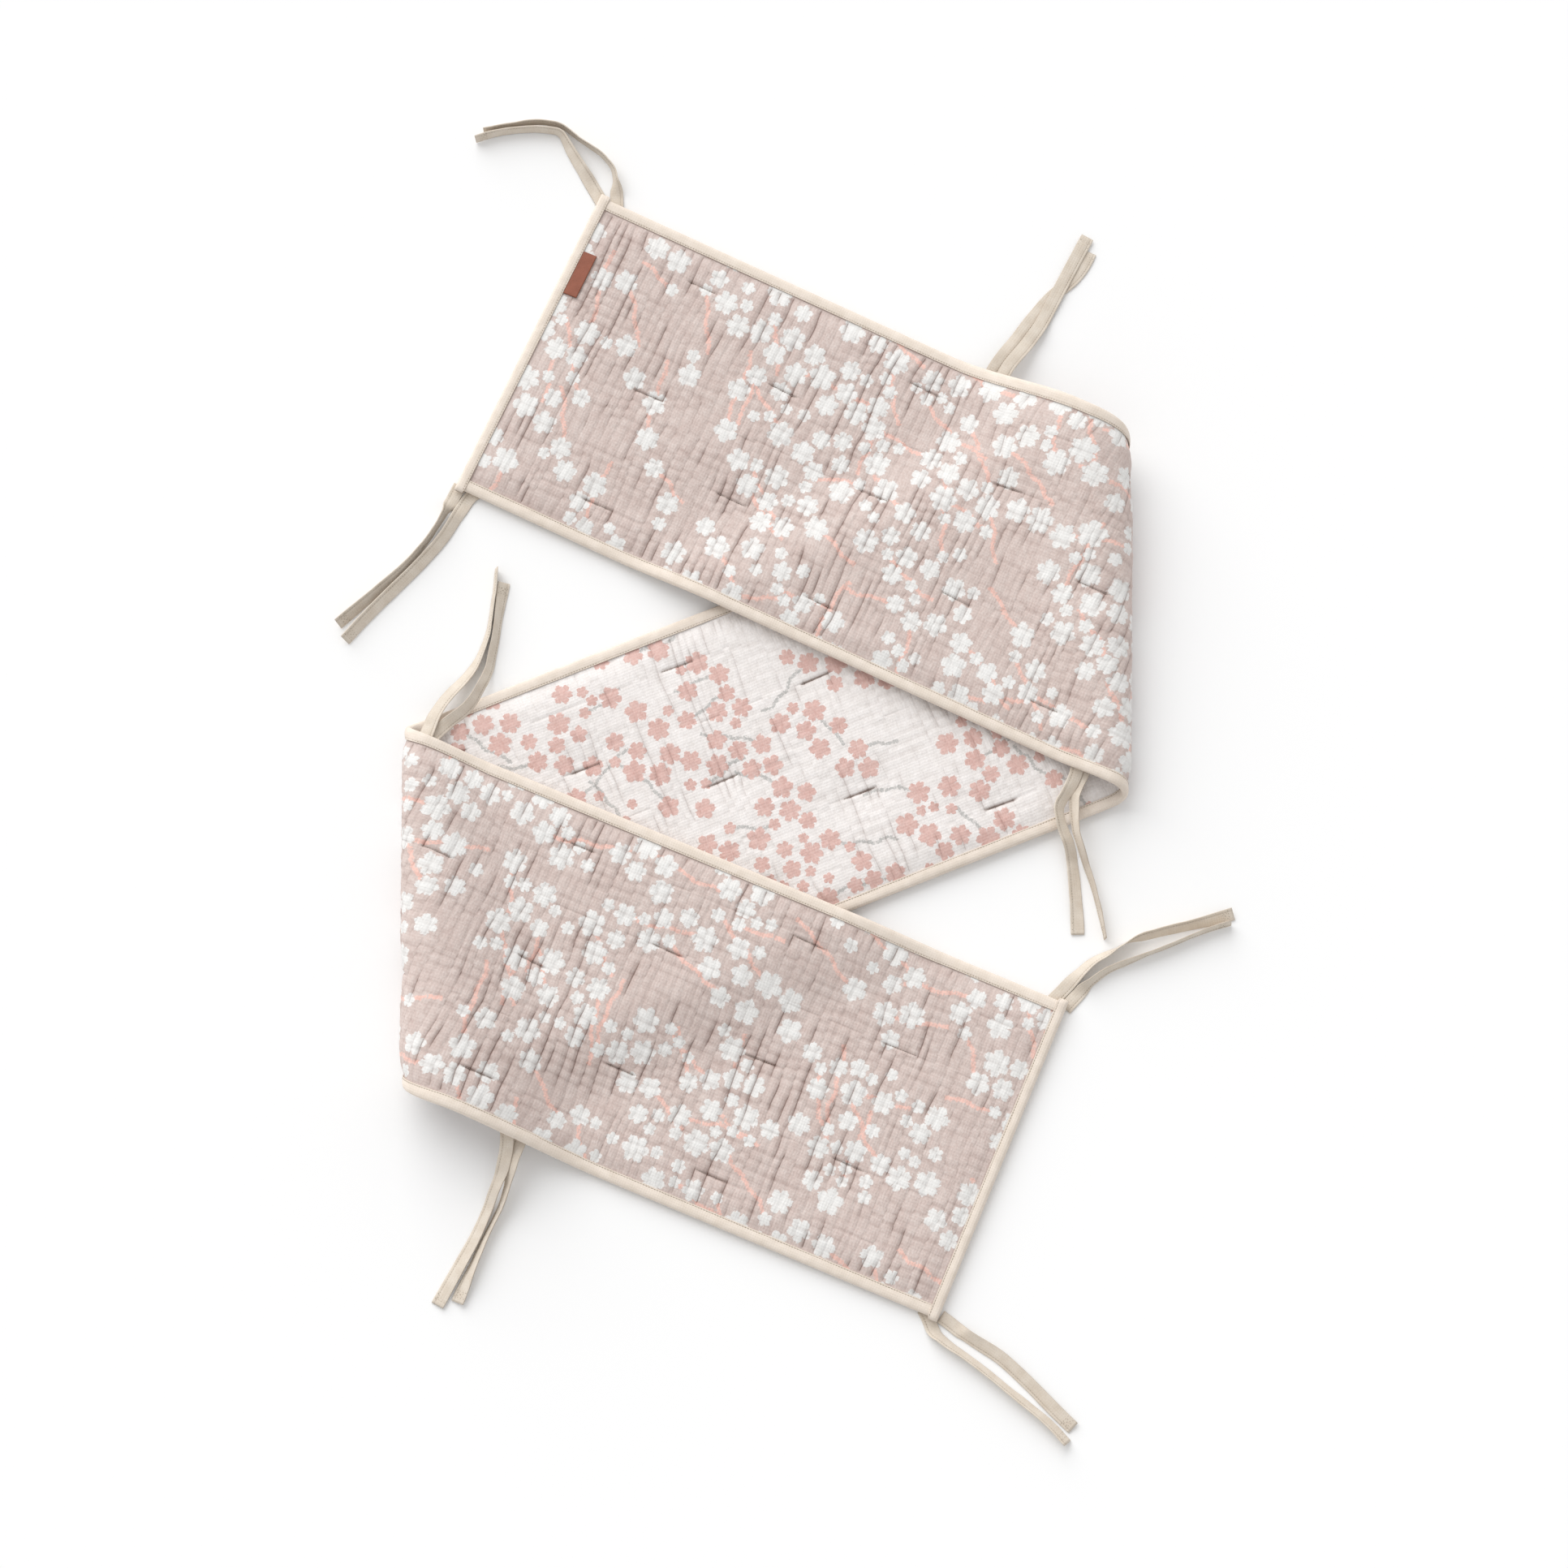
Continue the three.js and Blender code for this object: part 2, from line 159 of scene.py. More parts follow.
def roundFold(flat, fold, past, turn, edge):
    radius, rise, arc = turn
    beyond = edge * ((flat - sectionB["origin"]) @ sectionB["across"]) - half
    drop = smoothstep(beyond, heights["clearance"], heights["clearance"] + heights["drop"])
    rest = heights["layer"] + drop * (heights["floor"] - heights["layer"])
    fade = 1 - smoothstep((-past - arc) / (heights["foldReach"] * radius), 0, 1)
    restZ = rest + fade * (heights["floor"] + rise - rest)
    angle = (math.pi / 2) * (1 + past / arc)
    turning = past >= -arc
    move = np.where(turning, radius * np.sin(angle) - arc - past, 0)
    z = np.where(turning, heights["floor"] + rise / 2 * (1 + np.cos(angle)), restZ)
    return np.column_stack([flat + move[:, None] * fold["out"], z])


def middle(s, t):
    a, b = onSection(sectionA, s, t), onSection(sectionB, s, t)
    fromRight, fromLeft = a - right["origin"], b - left["origin"]
    pastRight, pastLeft = fromRight @ right["out"], fromLeft @ left["out"]
    rightTurn, leftTurn = foldAt(right, fromRight @ right["along"]), foldAt(left, fromLeft @ left["along"])
    onA = roundFold(a, right, pastRight, rightTurn, 1)
    onB = np.column_stack([b, np.full(len(s), heights["floor"])])
    onC = roundFold(onSection(sectionC, s, t), left, -pastLeft, leftTurn, -1)
    lower = np.where((pastLeft < -leftTurn[2])[:, None], onB, onC)
    return np.where((pastRight < rightTurn[2])[:, None], onA, lower)


def carried(s, t, w, lowest=0.0):
    # points w above the strip's middle surface on its mauve side, kept above the floor
    s, t, w = (np.broadcast_to(np.asarray(v, float), np.broadcast(s, t, w).shape).ravel() for v in (s, t, w))
    near = 0.5
    along = middle(s + near, t) - middle(s - near, t)
    across = middle(s, t + near) - middle(s, t - near)
    normal = np.cross(along, across)
    normal /= np.linalg.norm(normal, axis=1)[:, None]
    point = middle(s, t) + w[:, None] * normal
    point[:, 2] = np.maximum(point[:, 2], lowest)
    return point + shift


# meshes

def addMesh(name, points, faces, material, smooth=True):
    mesh = bpy.data.meshes.new(name)
    mesh.from_pydata((np.asarray(points) * mm).tolist(), [], faces)
    mesh.materials.append(material)
    mesh.polygons.foreach_set("use_smooth", [smooth] * len(mesh.polygons))
    mesh.update()
    piece = bpy.data.objects.new(name, mesh)
    bpy.context.scene.collection.objects.link(piece)
    return piece


def addMap(piece, name, values):
    layer = piece.data.uv_layers.new(name=name)
    layer.data.foreach_set("uv", np.ascontiguousarray(values, np.float32).ravel())


def addPointValue(piece, name, values):
    field = piece.data.attributes.new(name, "FLOAT", "POINT")
    field.data.foreach_set("value", np.ascontiguousarray(values, np.float32))


def finishPiece(piece, slot, *nodes):
    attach(piece, "root")
    if nodes:
        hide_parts(*nodes)


# the print: branches that grow by a rule, with blossoms along them
mauvePrint = {
    "seed": 101, "heading": -38.0,
    "sizes": ((12.2, 0.58), (10.2, 0.25), (6.8, 0.17)),  # blossom radius and its share
    "tries": 15000, "keepOff": 0.86, "gap": 0.4, "bare": 0.08,
    "band": (24.0, 46.0), "patch": 26.0,  # width and length of a cluster, and the size of its uneven edge
    "twigs": 200, "twigApart": 32.0, "step": (10.0, 17.0), "strokes": (3, 5), "kink": 27.0, "spread": 50.0,
}
whitePrint = {
    "seed": 202, "heading": 35.0,
    "sizes": ((10.6, 0.62), (8.8, 0.25), (5.8, 0.13)),
    "tries": 22000, "keepOff": 0.90, "gap": 0.4, "bare": -0.02,
    "band": (25.0, 50.0), "patch": 26.0,
    "twigs": 190, "twigApart": 38.0, "step": (8.0, 14.0), "strokes": (3, 5), "kink": 34.0, "spread": 60.0,
}


def growPrint(p):
    seed = p["seed"]
    rng = np.random.default_rng(seed)
    lean = math.radians(p["heading"])

    def inBand(places):
        along = places[:, 0] * math.cos(lean) + places[:, 1] * math.sin(lean)
        across = places[:, 1] * math.cos(lean) - places[:, 0] * math.sin(lean)
        wanted = smoothNoise(across / p["band"][0], along / p["band"][1], seed + 7)
        uneven = smoothNoise(places[:, 0] / p["patch"], places[:, 1] / p["patch"], seed + 8)
        return wanted + 0.3 * uneven > -p["bare"]

    # blossoms: darts that land in a band and clear of one another
    darts = rng.uniform((-10, -half - 8), (strip["length"] + 10, half + 8), (p["tries"], 2))
    radii = rng.choice([size for size, _ in p["sizes"]], p["tries"], p=[share for _, share in p["sizes"]])
    radii = radii * rng.uniform(0.9, 1.08, p["tries"])
    fits = inBand(darts)
    kept = np.empty((0, 3))
    for dart, radius in zip(darts[fits], radii[fits]):
        gaps = np.hypot(*(kept[:, :2] - dart).T) - (kept[:, 2] + radius) * p["keepOff"]
        if not len(kept) or gaps.min() > p["gap"]:
            kept = np.vstack([kept, [*dart, radius]])
    blossoms = {
        "place": kept[:, :2], "radius": kept[:, 2],
        "turn": rng.uniform(0, 2 * math.pi, len(kept)),
        "petals": np.where(kept[:, 2] < 7, 5, rng.choice([5, 6, 6], len(kept))),
        "share": rng.uniform(0, 1, len(kept)),  # fills the second number of the map that holds the petals
    }
    # twigs: short kinked strokes that start beside a blossom and run on between the others
    segments, starts = [], np.empty((0, 2))
    for k in rng.permutation(len(kept)):
        way = lean + math.radians(rng.uniform(-1, 1) * p["spread"]) + rng.choice([0, math.pi])
        spot = kept[k, :2] + kept[k, 2] * 0.8 * np.array([math.cos(way), math.sin(way)])
        if len(starts) >= p["twigs"] or (len(starts) and np.hypot(*(starts - spot).T).min() < p["twigApart"]):
            continue
        starts = np.vstack([starts, spot])
        turn = rng.choice([-1, 1])
        for _ in range(rng.integers(p["strokes"][0], p["strokes"][1] + 1)):
            ahead = spot + rng.uniform(*p["step"]) * np.array([math.cos(way), math.sin(way)])
            segments.append((spot, ahead))
            spot, turn = ahead, -turn
            way += turn * math.radians(p["kink"] * rng.uniform(0.5, 1.2))
    print("print:", len(kept), "blossoms,", len(starts), "twigs of", len(segments), "strokes")
    return blossoms, np.array(segments)


def segmentPlace(points, ends):
    # the nearest segment to each point, and the point's place along and distance from it
    start, run = ends[:, 0], ends[:, 1] - ends[:, 0]
    length = np.hypot(*run.T)
    best = np.full(len(points), 1e9)
    which = np.zeros(len(points), int)
    for k in range(len(ends)):
        rel = points - start[k]
        share = np.clip(rel @ run[k] / length[k] ** 2, 0, 1)
        away = np.hypot(*(rel - share[:, None] * run[k]).T)
        nearer = away < best
        best[nearer], which[nearer] = away[nearer], k
    return which, length, best


def printMaps(flat, faceCorners, centres, blossoms, ends):
    # for each face corner, its place in the nearest blossom and on the nearest branch segment
    noBlossom, noTwig, twigReach = (9, 9), (0.5, 0.1), 12.0
    best = np.full(len(centres), 1e9)
    which = np.zeros(len(centres), int)
    for k, (spot, radius) in enumerate(zip(blossoms["place"], blossoms["radius"])):
        close = np.abs(centres[:, 0] - spot[0]) < 2.2 * radius
        share = np.hypot(*(centres[close] - spot).T) / radius
        rows = np.flatnonzero(close)
        nearer = share < best[rows]
        best[rows[nearer]], which[rows[nearer]] = share[nearer], k
    corner = flat[faceCorners]
    perCorner = np.repeat(which, 4)
    rel = (corner.reshape(-1, 2) - blossoms["place"][perCorner]) / blossoms["radius"][perCorner][:, None]
    turn = blossoms["turn"][perCorner]
    bloom = np.column_stack([
        rel[:, 0] * np.cos(turn) + rel[:, 1] * np.sin(turn),
        rel[:, 1] * np.cos(turn) - rel[:, 0] * np.sin(turn),
    ])
    bloom[np.repeat(best, 4) > 2] = noBlossom
    kind = np.column_stack([blossoms["petals"][perCorner], blossoms["share"][perCorner]])
    segment, length, away = segmentPlace(centres, ends)
    perCorner = np.repeat(segment, 4)
    start, run = ends[perCorner, 0], ends[perCorner, 1] - ends[perCorner, 0]
    rel = corner.reshape(-1, 2) - start
    unit = run / length[perCorner][:, None]
    twig = np.column_stack([
        (rel * unit).sum(1) / length[perCorner], (rel[:, 1] * unit[:, 0] - rel[:, 0] * unit[:, 1]) * mm])
    twig[np.repeat(away, 4) > twigReach] = noTwig
    return bloom, kind, twig


# the quilted panels
pad = {
    "crown": 6.3, "rim": 2.0, "endRim": 3.0, "rimWidth": 11.0, "shoulder": 22.0, "endRimWidth": 10.5,
    "endShoulder": 24.0, "inset": 2.0, "inner": 0.15, "coarse": 4, "thinnest": 0.9,
    "bound": 10.7, "endBound": 9.8, "ease": 2.5,  # how far the binding presses the crinkle flat
}
tuft = {
    "first": 121.0, "pitch": 109.5, "columns": 16, "rise": 55.5, "reach": (22.0, 13.0), "depth": 2.3,
    "bar": 28.0, "groove": 2.0, "grooveWidth": 0.8, "leg": 12.0, "shade": 0.5, "backShade": 1.7,
}
crinkle = {
    "spacing": (6.4, 12.6), "flank": 0.8, "width": 0.8, "depth": 0.95, "puff": 0.5,
    "wander": 3.2, "fineWander": 1.1, "backShare": 0.85,
    "line": 9.25, "lineWidth": 1.2, "lineDepth": 0.34, "linePuff": 0.28, "backPuff": 1.4,
    "calm": (330.0, 420.0, 600.0, 700.0),  # the first fold pulls the cloth smooth between these places
    "lively": (1350.0, 1500.0),  # the lines deepen towards the last end
}
label = {"from": 53.0, "length": 43.0, "width": 13.0, "thickness": 1.4, "rise": 0.19, "under": 3.8, "s0": 9.8}

tufts = np.array([
    (tuft["first"] + column * tuft["pitch"], row * tuft["rise"])
    for column in range(tuft["columns"])
    for row in ((-2, 0, 2) if column % 2 == 0 else (-1, 1))
])
tuftRng = np.random.default_rng(5)
tuftTilt = np.radians(tuftRng.uniform(-3, 3, len(tufts)))
tuftPull = tuftRng.uniform(0.75, 1.2, len(tufts))
tuftNudge = tuftRng.uniform(-2, 2, (len(tufts), 2)) * (1.5, 0.2)
tuftLeg = tuftRng.choice([-1, 1], (len(tufts), 2))  # the end of the bar that has the leg, and its way


def tuftField(s, t):
    # how deep the tufts pull the pad, how near their bars and legs are, and how much they gather the cloth
    pull, bar, leg, gather = (np.zeros_like(s) for _ in range(4))
    for spot, lean, strength, nudge, way in zip(tufts, tuftTilt, tuftPull, tuftNudge, tuftLeg):
        ds, dt = s - spot[0] - nudge[0], t - spot[1] - nudge[1]
        near = (np.abs(ds) < 90) & (np.abs(dt) < 70)
        ds, dt = ds[near], dt[near]
        dt = dt - math.tan(lean) * ds
        onBar = 1 - smoothstep(np.abs(ds), tuft["bar"] / 2 - 3, tuft["bar"] / 2 + 2.5)
        pull[near] += strength * np.exp(-((ds / tuft["reach"][0]) ** 2 + (dt / tuft["reach"][1]) ** 2) / 2)
        bar[near] += strength * onBar * np.exp(-((dt / tuft["grooveWidth"]) ** 2) / 2)
        beside = np.exp(-(((ds - way[0] * tuft["bar"] / 2) / 4.5) ** 2))
        down = dt * way[1]
        onLeg = smoothstep(down, -3, 1) * (1 - smoothstep(down, tuft["leg"] - 4, tuft["leg"] + 3))
        leg[near] += beside * onLeg
        gather[near] += np.exp(-((ds / 17) ** 2) / 2) * np.exp(-np.abs(dt) / 26)
    return pull, bar, leg, gather


def creasePlaces(seed):
    rng = np.random.default_rng(seed)
    places = [pad["inset"]]
    while places[-1] < strip["length"] - pad["inset"] - 12:
        places.append(places[-1] + rng.uniform(*crinkle["spacing"]))
    places.append(strip["length"] - pad["inset"])
    return np.array(places)


def padSurface(q, t, creases, seed, side):
    # place along the strip, thickness and the painted shade of the creases and tuft slits at grid place q,
    # which runs along the creases
    ends = np.minimum(q, strip["length"] - q)
    wander = crinkle["wander"] * smoothNoise(q / 64, t / 52, seed + 1)
    wander = wander + crinkle["fineWander"] * smoothNoise(q / 24, t / 17, seed + 2)
    s = q + wander * smoothstep(ends, 4, 45)
    cell = np.clip(np.searchsorted(creases, q, side="right") - 1, 0, len(creases) - 2)
    width = creases[cell + 1] - creases[cell]
    share = (q - creases[cell]) / width
    nearest = np.where(share < 0.5, cell, cell + 1)
    away = np.minimum(share, 1 - share) * width
    pull, bar, leg, gather = tuftField(s, t)
    toEnd = np.minimum(s, strip["length"] - s)
    fadeEdge = smoothstep(half - pad["bound"] - np.abs(t), 0, pad["ease"])
    fadeEdge = fadeEdge * smoothstep(toEnd - pad["endBound"], 0, pad["ease"])
    strength = 0.75 * smoothNoise(t / 25 + nearest * 7.31, nearest * 3.7, seed + 3)
    strength = strength + 0.3 * smoothNoise(s / 120, t / 80, seed + 4) + 0.4 * gather
    strength = strength + 0.2 * smoothstep(np.abs(t), 112, 138)
    calm = smoothstep(s, *crinkle["calm"][:2]) * (1 - smoothstep(s, *crinkle["calm"][2:]))
    strength = (0.2 + 0.9 * smoothstep(strength, 0.12, 0.72)) * (1 - 0.3 * calm)
    strength = np.maximum(strength * (1 if side > 0 else crinkle["backShare"]), 1.25 * leg)
    valley = strength * np.exp(-((away / crinkle["width"]) ** 2))
    # the lines across break step between the ridges, by a third of their spacing
    stagger = np.rint(1.6 * smoothNoise(cell * 5.17, t / 70, seed + 9)) / 3
    lineShare = (t / crinkle["line"] + stagger) % 1
    line = 0.55 + 0.8 * smoothNoise(s / 40, np.round(t / crinkle["line"]) * 5.3, seed + 5)
    line = np.clip(line + 0.25 * smoothstep(s, *crinkle["lively"]), 0, 1)
    lineAway = np.minimum(lineShare, 1 - lineShare) * crinkle["line"]
    groove = line * np.exp(-((lineAway / crinkle["lineWidth"]) ** 2))
    arch = np.sin(math.pi * share) ** 0.8 * (0.35 + 0.65 * np.clip(strength, 0, 1))
    lineArch = np.sin(math.pi * lineShare) ** 0.8 * line
    lumps = 0.3 * smoothNoise(s / 17, t / 21, seed + 6) + 0.16 * smoothNoise(s / 6.5, t / 9, seed + 8)
    linePuff = crinkle["linePuff"] * (1 if side > 0 else crinkle["backPuff"])
    relief = crinkle["puff"] * arch + linePuff * lineArch + lumps - 0.5
    relief = relief - crinkle["depth"] * valley - crinkle["lineDepth"] * groove
    swell = lambda d, w: 1 - (1 - np.clip(d / w, 0, 1)) ** 2
    fromEdge = half - np.abs(t) - pad["rimWidth"]
    fromEnd = toEnd - pad["endRimWidth"]
    rim = pad["rim"] + (pad["endRim"] - pad["rim"]) * smoothstep(fromEdge, 0, pad["shoulder"])
    thick = rim + (pad["crown"] - rim) * swell(fromEdge, pad["shoulder"]) * swell(fromEnd, pad["endShoulder"])
    thick = thick - tuft["depth"] * pull - tuft["groove"] * np.clip(bar, 0, 1.2)
    underLabel = smoothstep(label["s0"] + label["width"] + 3 - s, 0, 3) * smoothstep(
        label["length"] / 2 + 3 - np.abs(t - label["from"] - label["length"] / 2), 0, 3) * (side > 0)
    thick = thick + relief * fadeEdge * (1 - underLabel)
    # painted shade: the creases, the lines across and the tuft slits are darkened where shade falls in them
    barShade = tuft["shade"] if side > 0 else tuft["backShade"]
    shade = np.clip(valley + 0.35 * groove, 0, 1.1) * fadeEdge + barShade * np.clip(bar, 0, 1)
    return s, np.maximum(thick, pad["thinnest"]), np.clip(shade, 0, 2)


def rowPlaces():
    outer = [half - pad["inset"], 145.0, 141.5, 139.4, 138.2, 136.6, 134.4, 131.4, 128.2]
    third = crinkle["line"] / 3
    inner = [k * third for k in range(0, 42) if k * third < 126.5]
    for row in (0.0, tuft["rise"], 2 * tuft["rise"]):
        inner += [row - 1.5, row - 0.6, row + 0.6, row + 1.5] if row else [0.6, 1.5]
    up = sorted(set(round(v, 4) for v in inner + outer))
    return np.array([-v for v in reversed(up) if v > 0] + up)


def addPanel(name, node, slot, side, seed, material, pattern):
    creases = creasePlaces(seed)
    columns = []
    for a, b in zip(creases[:-1], creases[1:]):
        columns += [a, a + crinkle["flank"], (a + b) / 2, b - crinkle["flank"]]
    columns = np.array(columns + [creases[-1]])
    rows = rowPlaces()
    nc, nr = len(columns), len(rows)
    q, t = (grid.ravel() for grid in np.meshgrid(columns, rows, indexing="ij"))
    s, thick, shade = padSurface(q, t, creases, seed, side)
    outerPoints = carried(s, t, side * thick)
    stepC = list(range(0, nc - 1, pad["coarse"])) + [nc - 1]
    stepR = list(range(0, nr - 1, pad["coarse"])) + [nr - 1]
    innerIndex = {}
    innerS, innerT = [], []
    for i in stepC:
        for j in stepR:
            innerIndex[i, j] = nc * nr + len(innerS)
            innerS.append(s[i * nr + j])
            innerT.append(t[i * nr + j])
    innerPoints = carried(np.array(innerS), np.array(innerT), side * pad["inner"])
    at = lambda i, j: i * nr + j
    i, j = (grid.ravel() for grid in np.meshgrid(np.arange(nc - 1), np.arange(nr - 1), indexing="ij"))
    quads = np.column_stack([at(i, j), at(i + 1, j), at(i + 1, j + 1), at(i, j + 1)])
    back = []
    for a, b in zip(stepC[:-1], stepC[1:]):
        for c, d in zip(stepR[:-1], stepR[1:]):
            back.append([innerIndex[a, c], innerIndex[a, d], innerIndex[b, d], innerIndex[b, c]])
    for a, b in zip(stepC[:-1], stepC[1:]):
        back.append([innerIndex[a, 0], innerIndex[b, 0]] + [at(k, 0) for k in range(b, a - 1, -1)])
        back.append([innerIndex[b, nr - 1], innerIndex[a, nr - 1]] + [at(k, nr - 1) for k in range(a, b + 1)])
    for c, d in zip(stepR[:-1], stepR[1:]):
        back.append([innerIndex[0, d], innerIndex[0, c]] + [at(0, k) for k in range(c, d + 1)])
        lastEdge = [at(nc - 1, k) for k in range(d, c - 1, -1)]
        back.append([innerIndex[nc - 1, c], innerIndex[nc - 1, d]] + lastEdge)
    if side < 0:
        quads = quads[:, ::-1]
        back = [face[::-1] for face in back]
    piece = addMesh(name, np.vstack([outerPoints, innerPoints]), quads.tolist() + back, material)
    # the painted shade of the creases and tuft slits, per point, for the material
    addPointValue(piece, "crease", np.concatenate([shade, np.zeros(len(innerS))]))
    flat = np.column_stack([s, t])
    centres = flat[quads].mean(1)
    blossoms, ends = growPrint(pattern)
    bloom, kind, twig = printMaps(flat, quads, centres, blossoms, ends)
    rest = sum(len(face) for face in back)
    backUv = np.array([(0.5, 0.5)] * rest)
    addMap(piece, "cloth", np.vstack([flat[quads].reshape(-1, 2) * mm, backUv]))
    addMap(piece, "bloom", np.vstack([bloom, backUv * 18]))
    addMap(piece, "kind", np.vstack([kind, backUv]))
    addMap(piece, "twig", np.vstack([twig, backUv]))
    # the bake map lays the strip in three rows that fill a square
    rowsOfMap = 3
    bounds = [round(k * (nc - 1) / rowsOfMap) for k in range(rowsOfMap + 1)]
    band = np.clip(np.searchsorted(bounds, i, side="right") - 1, 0, rowsOfMap - 1)
    starts, spans = columns[bounds][band], np.diff(columns[bounds])[band]
    u = (q[quads] - starts[:, None]) / spans[:, None] * 0.98 + 0.01
    v = (t[quads] / (2 * half) + 0.5) * 0.31 + 0.008 + band[:, None] * 0.32
    everyPoint = np.vstack([flat, np.column_stack([innerS, innerT])])
    ring = everyPoint[[index for face in back for index in face]]
    backMap = np.column_stack([
        ring[:, 0] / strip["length"] * 0.98 + 0.01,
        (ring[:, 1] / (2 * half) + 0.5) * 0.03 + 0.965,
    ])
    addMap(piece, "OFBake", np.vstack([np.column_stack([u.ravel(), v.ravel()]), backMap]))
    finishPiece(piece, slot, node)
    print(name, "has", len(quads), "outer faces")


# materials
# crease is the colour of the painted shade in the creases and tuft slits, creaseShare its strength
mauveCloth = {
    "ground": ("#C7B3AC", "#D3C2BB", "#DDD0CA"), "petal": ("#EFEEEC", "#E6E4E1", "#D4CBC6"),
    "twig": "#EFC5B9", "twigWidth": 3.7, "twigRag": 7.5, "crease": "#8C7067", "creaseShare": 0.72,
}
whiteCloth = {
    "ground": ("#E4DEDA", "#EEE8E5", "#F6F2F0"), "petal": ("#E4C4BC", "#D3AAA1", "#E8D6D1"),
    "twig": "#C2C0BD", "twigWidth": 3.0, "twigRag": 6.5, "crease": "#A4928B", "creaseShare": 0.42,
}
# sizes in mm; the threads, about 0.9 mm apart in such muslin, are drawn 2.6 mm apart so that they show
yarn = {"fleck": 1.7857, "cloud": 14.2857, "fringe": 2.5, "slub": 3.8462, "thread": 2.618}
rgba = {"out": 2, "data_type": "RGBA"}  # a mix of two colours, whose result is its third output
flower = {"roundness": 0.62, "lobe": 0.36, "core": 0.59, "rag": 0.62, "parting": 0.35}


def newMaterial(name):
    material = bpy.data.materials.new(name)
    material.use_nodes = True
    return material, material.node_tree.nodes["Principled BSDF"], partial(addNode, material.node_tree)


def setPlain(shader, values):
    for name, value in values.items():
        shader.inputs[name].default_value = value


def joinSurface(shader, add, base, relief=None):
    # the colour and the relief, which is its height, its strength and its depth in mm
    links = shader.id_data.links
    links.new(base, shader.inputs["Base Color"])
    if relief:
        height, strength, depth = relief
        bump = add("Bump", [("Height", height), ("Strength", strength), ("Distance", depth * mm)])
        links.new(bump, shader.inputs["Normal"])


def perMetre(size):
    return 1 / (size * mm)  # the scale of a pattern whose features are so many mm across


def crossedThreads(add, cloth, spacing, distortion):
    # warp and weft as crossed waves, which repeat every pi / 10 at a scale of 1
    wave = [("Vector", cloth), ("Scale", math.pi / 10 * perMetre(spacing)), ("Distortion", distortion)]
    warp = add("TexWave", wave, out="Fac", bands_direction="X")
    weft = add("TexWave", wave, out="Fac", bands_direction="Y")
    return add("Math", [(0, warp), (1, weft)], operation="ADD")


def heatheredGround(add, cloth, tones):
    # flecks of the heathered yarn in two tones, and clouds of a paler pair
    turned = add("Mapping", [("Vector", cloth), ("Rotation", (0, 0, 0.6)), ("Scale", (1.0, 0.6, 1.0))])
    fleck = add("TexNoise", [
        ("Vector", turned), ("Scale", perMetre(yarn["fleck"])), ("Detail", 2.0), ("Roughness", 0.6)])
    cloud = add("TexNoise", [("Vector", cloth), ("Scale", perMetre(yarn["cloud"])), ("Detail", 4.0)])
    fleckShare = add("MapRange", [(0, fleck), (1, 0.34), (2, 0.68)])
    cloudShare = add("MapRange", [(0, cloud), (1, 0.3), (2, 0.7)])
    deep, plain, pale = (colour(tone) for tone in tones)
    darker = add("Mix", [(0, fleckShare), (6, deep), (7, plain)], **rgba)
    lighter = add("Mix", [(0, fleckShare), (6, plain), (7, pale)], **rgba)
    base = add("Mix", [(0, cloudShare), (6, darker), (7, lighter)], **rgba)
    return base, fleck, fleckShare, cloudShare


def printedTwigs(add, base, ragged, fleck, c):
    # strokes with a ragged edge, patchy where the yarns took less ink
    twigUv = add("UVMap", uv_map="twig")
    place = add("SeparateXYZ", [(0, twigUv)], out=None)  # along a stroke, and off its line
    offLine = add("Math", [(0, place[1])], operation="ABSOLUTE")
    width = [(0, ragged), (1, c["twigRag"] * mm), (2, c["twigWidth"] / 2 * mm)]
    limit = add("Math", width, operation="MULTIPLY_ADD")
    within = add("Math", [(0, limit), (1, offLine)], operation="SUBTRACT")
    onLine = add("MapRange", [(0, within), (1, -0.25 * mm), (2, 0.35 * mm)])
    fromMiddle = add("Math", [(0, place[0]), (1, 0.5)], operation="SUBTRACT")
    away = add("Math", [(0, fromMiddle)], operation="ABSOLUTE")
    inStroke = add("Math", [(0, away), (1, 0.56)], operation="LESS_THAN")
    stroke = add("Math", [(0, onLine), (1, inStroke)], operation="MULTIPLY")
    patchy = add("MapRange", [(0, fleck), (1, 0.36), (2, 0.5), (3, 0.45), (4, 1.0)])
    share = add("Math", [(0, stroke), (1, patchy)], operation="MULTIPLY")
    return add("Mix", [(0, share), (6, base), (7, colour(c["twig"]))], **rgba)


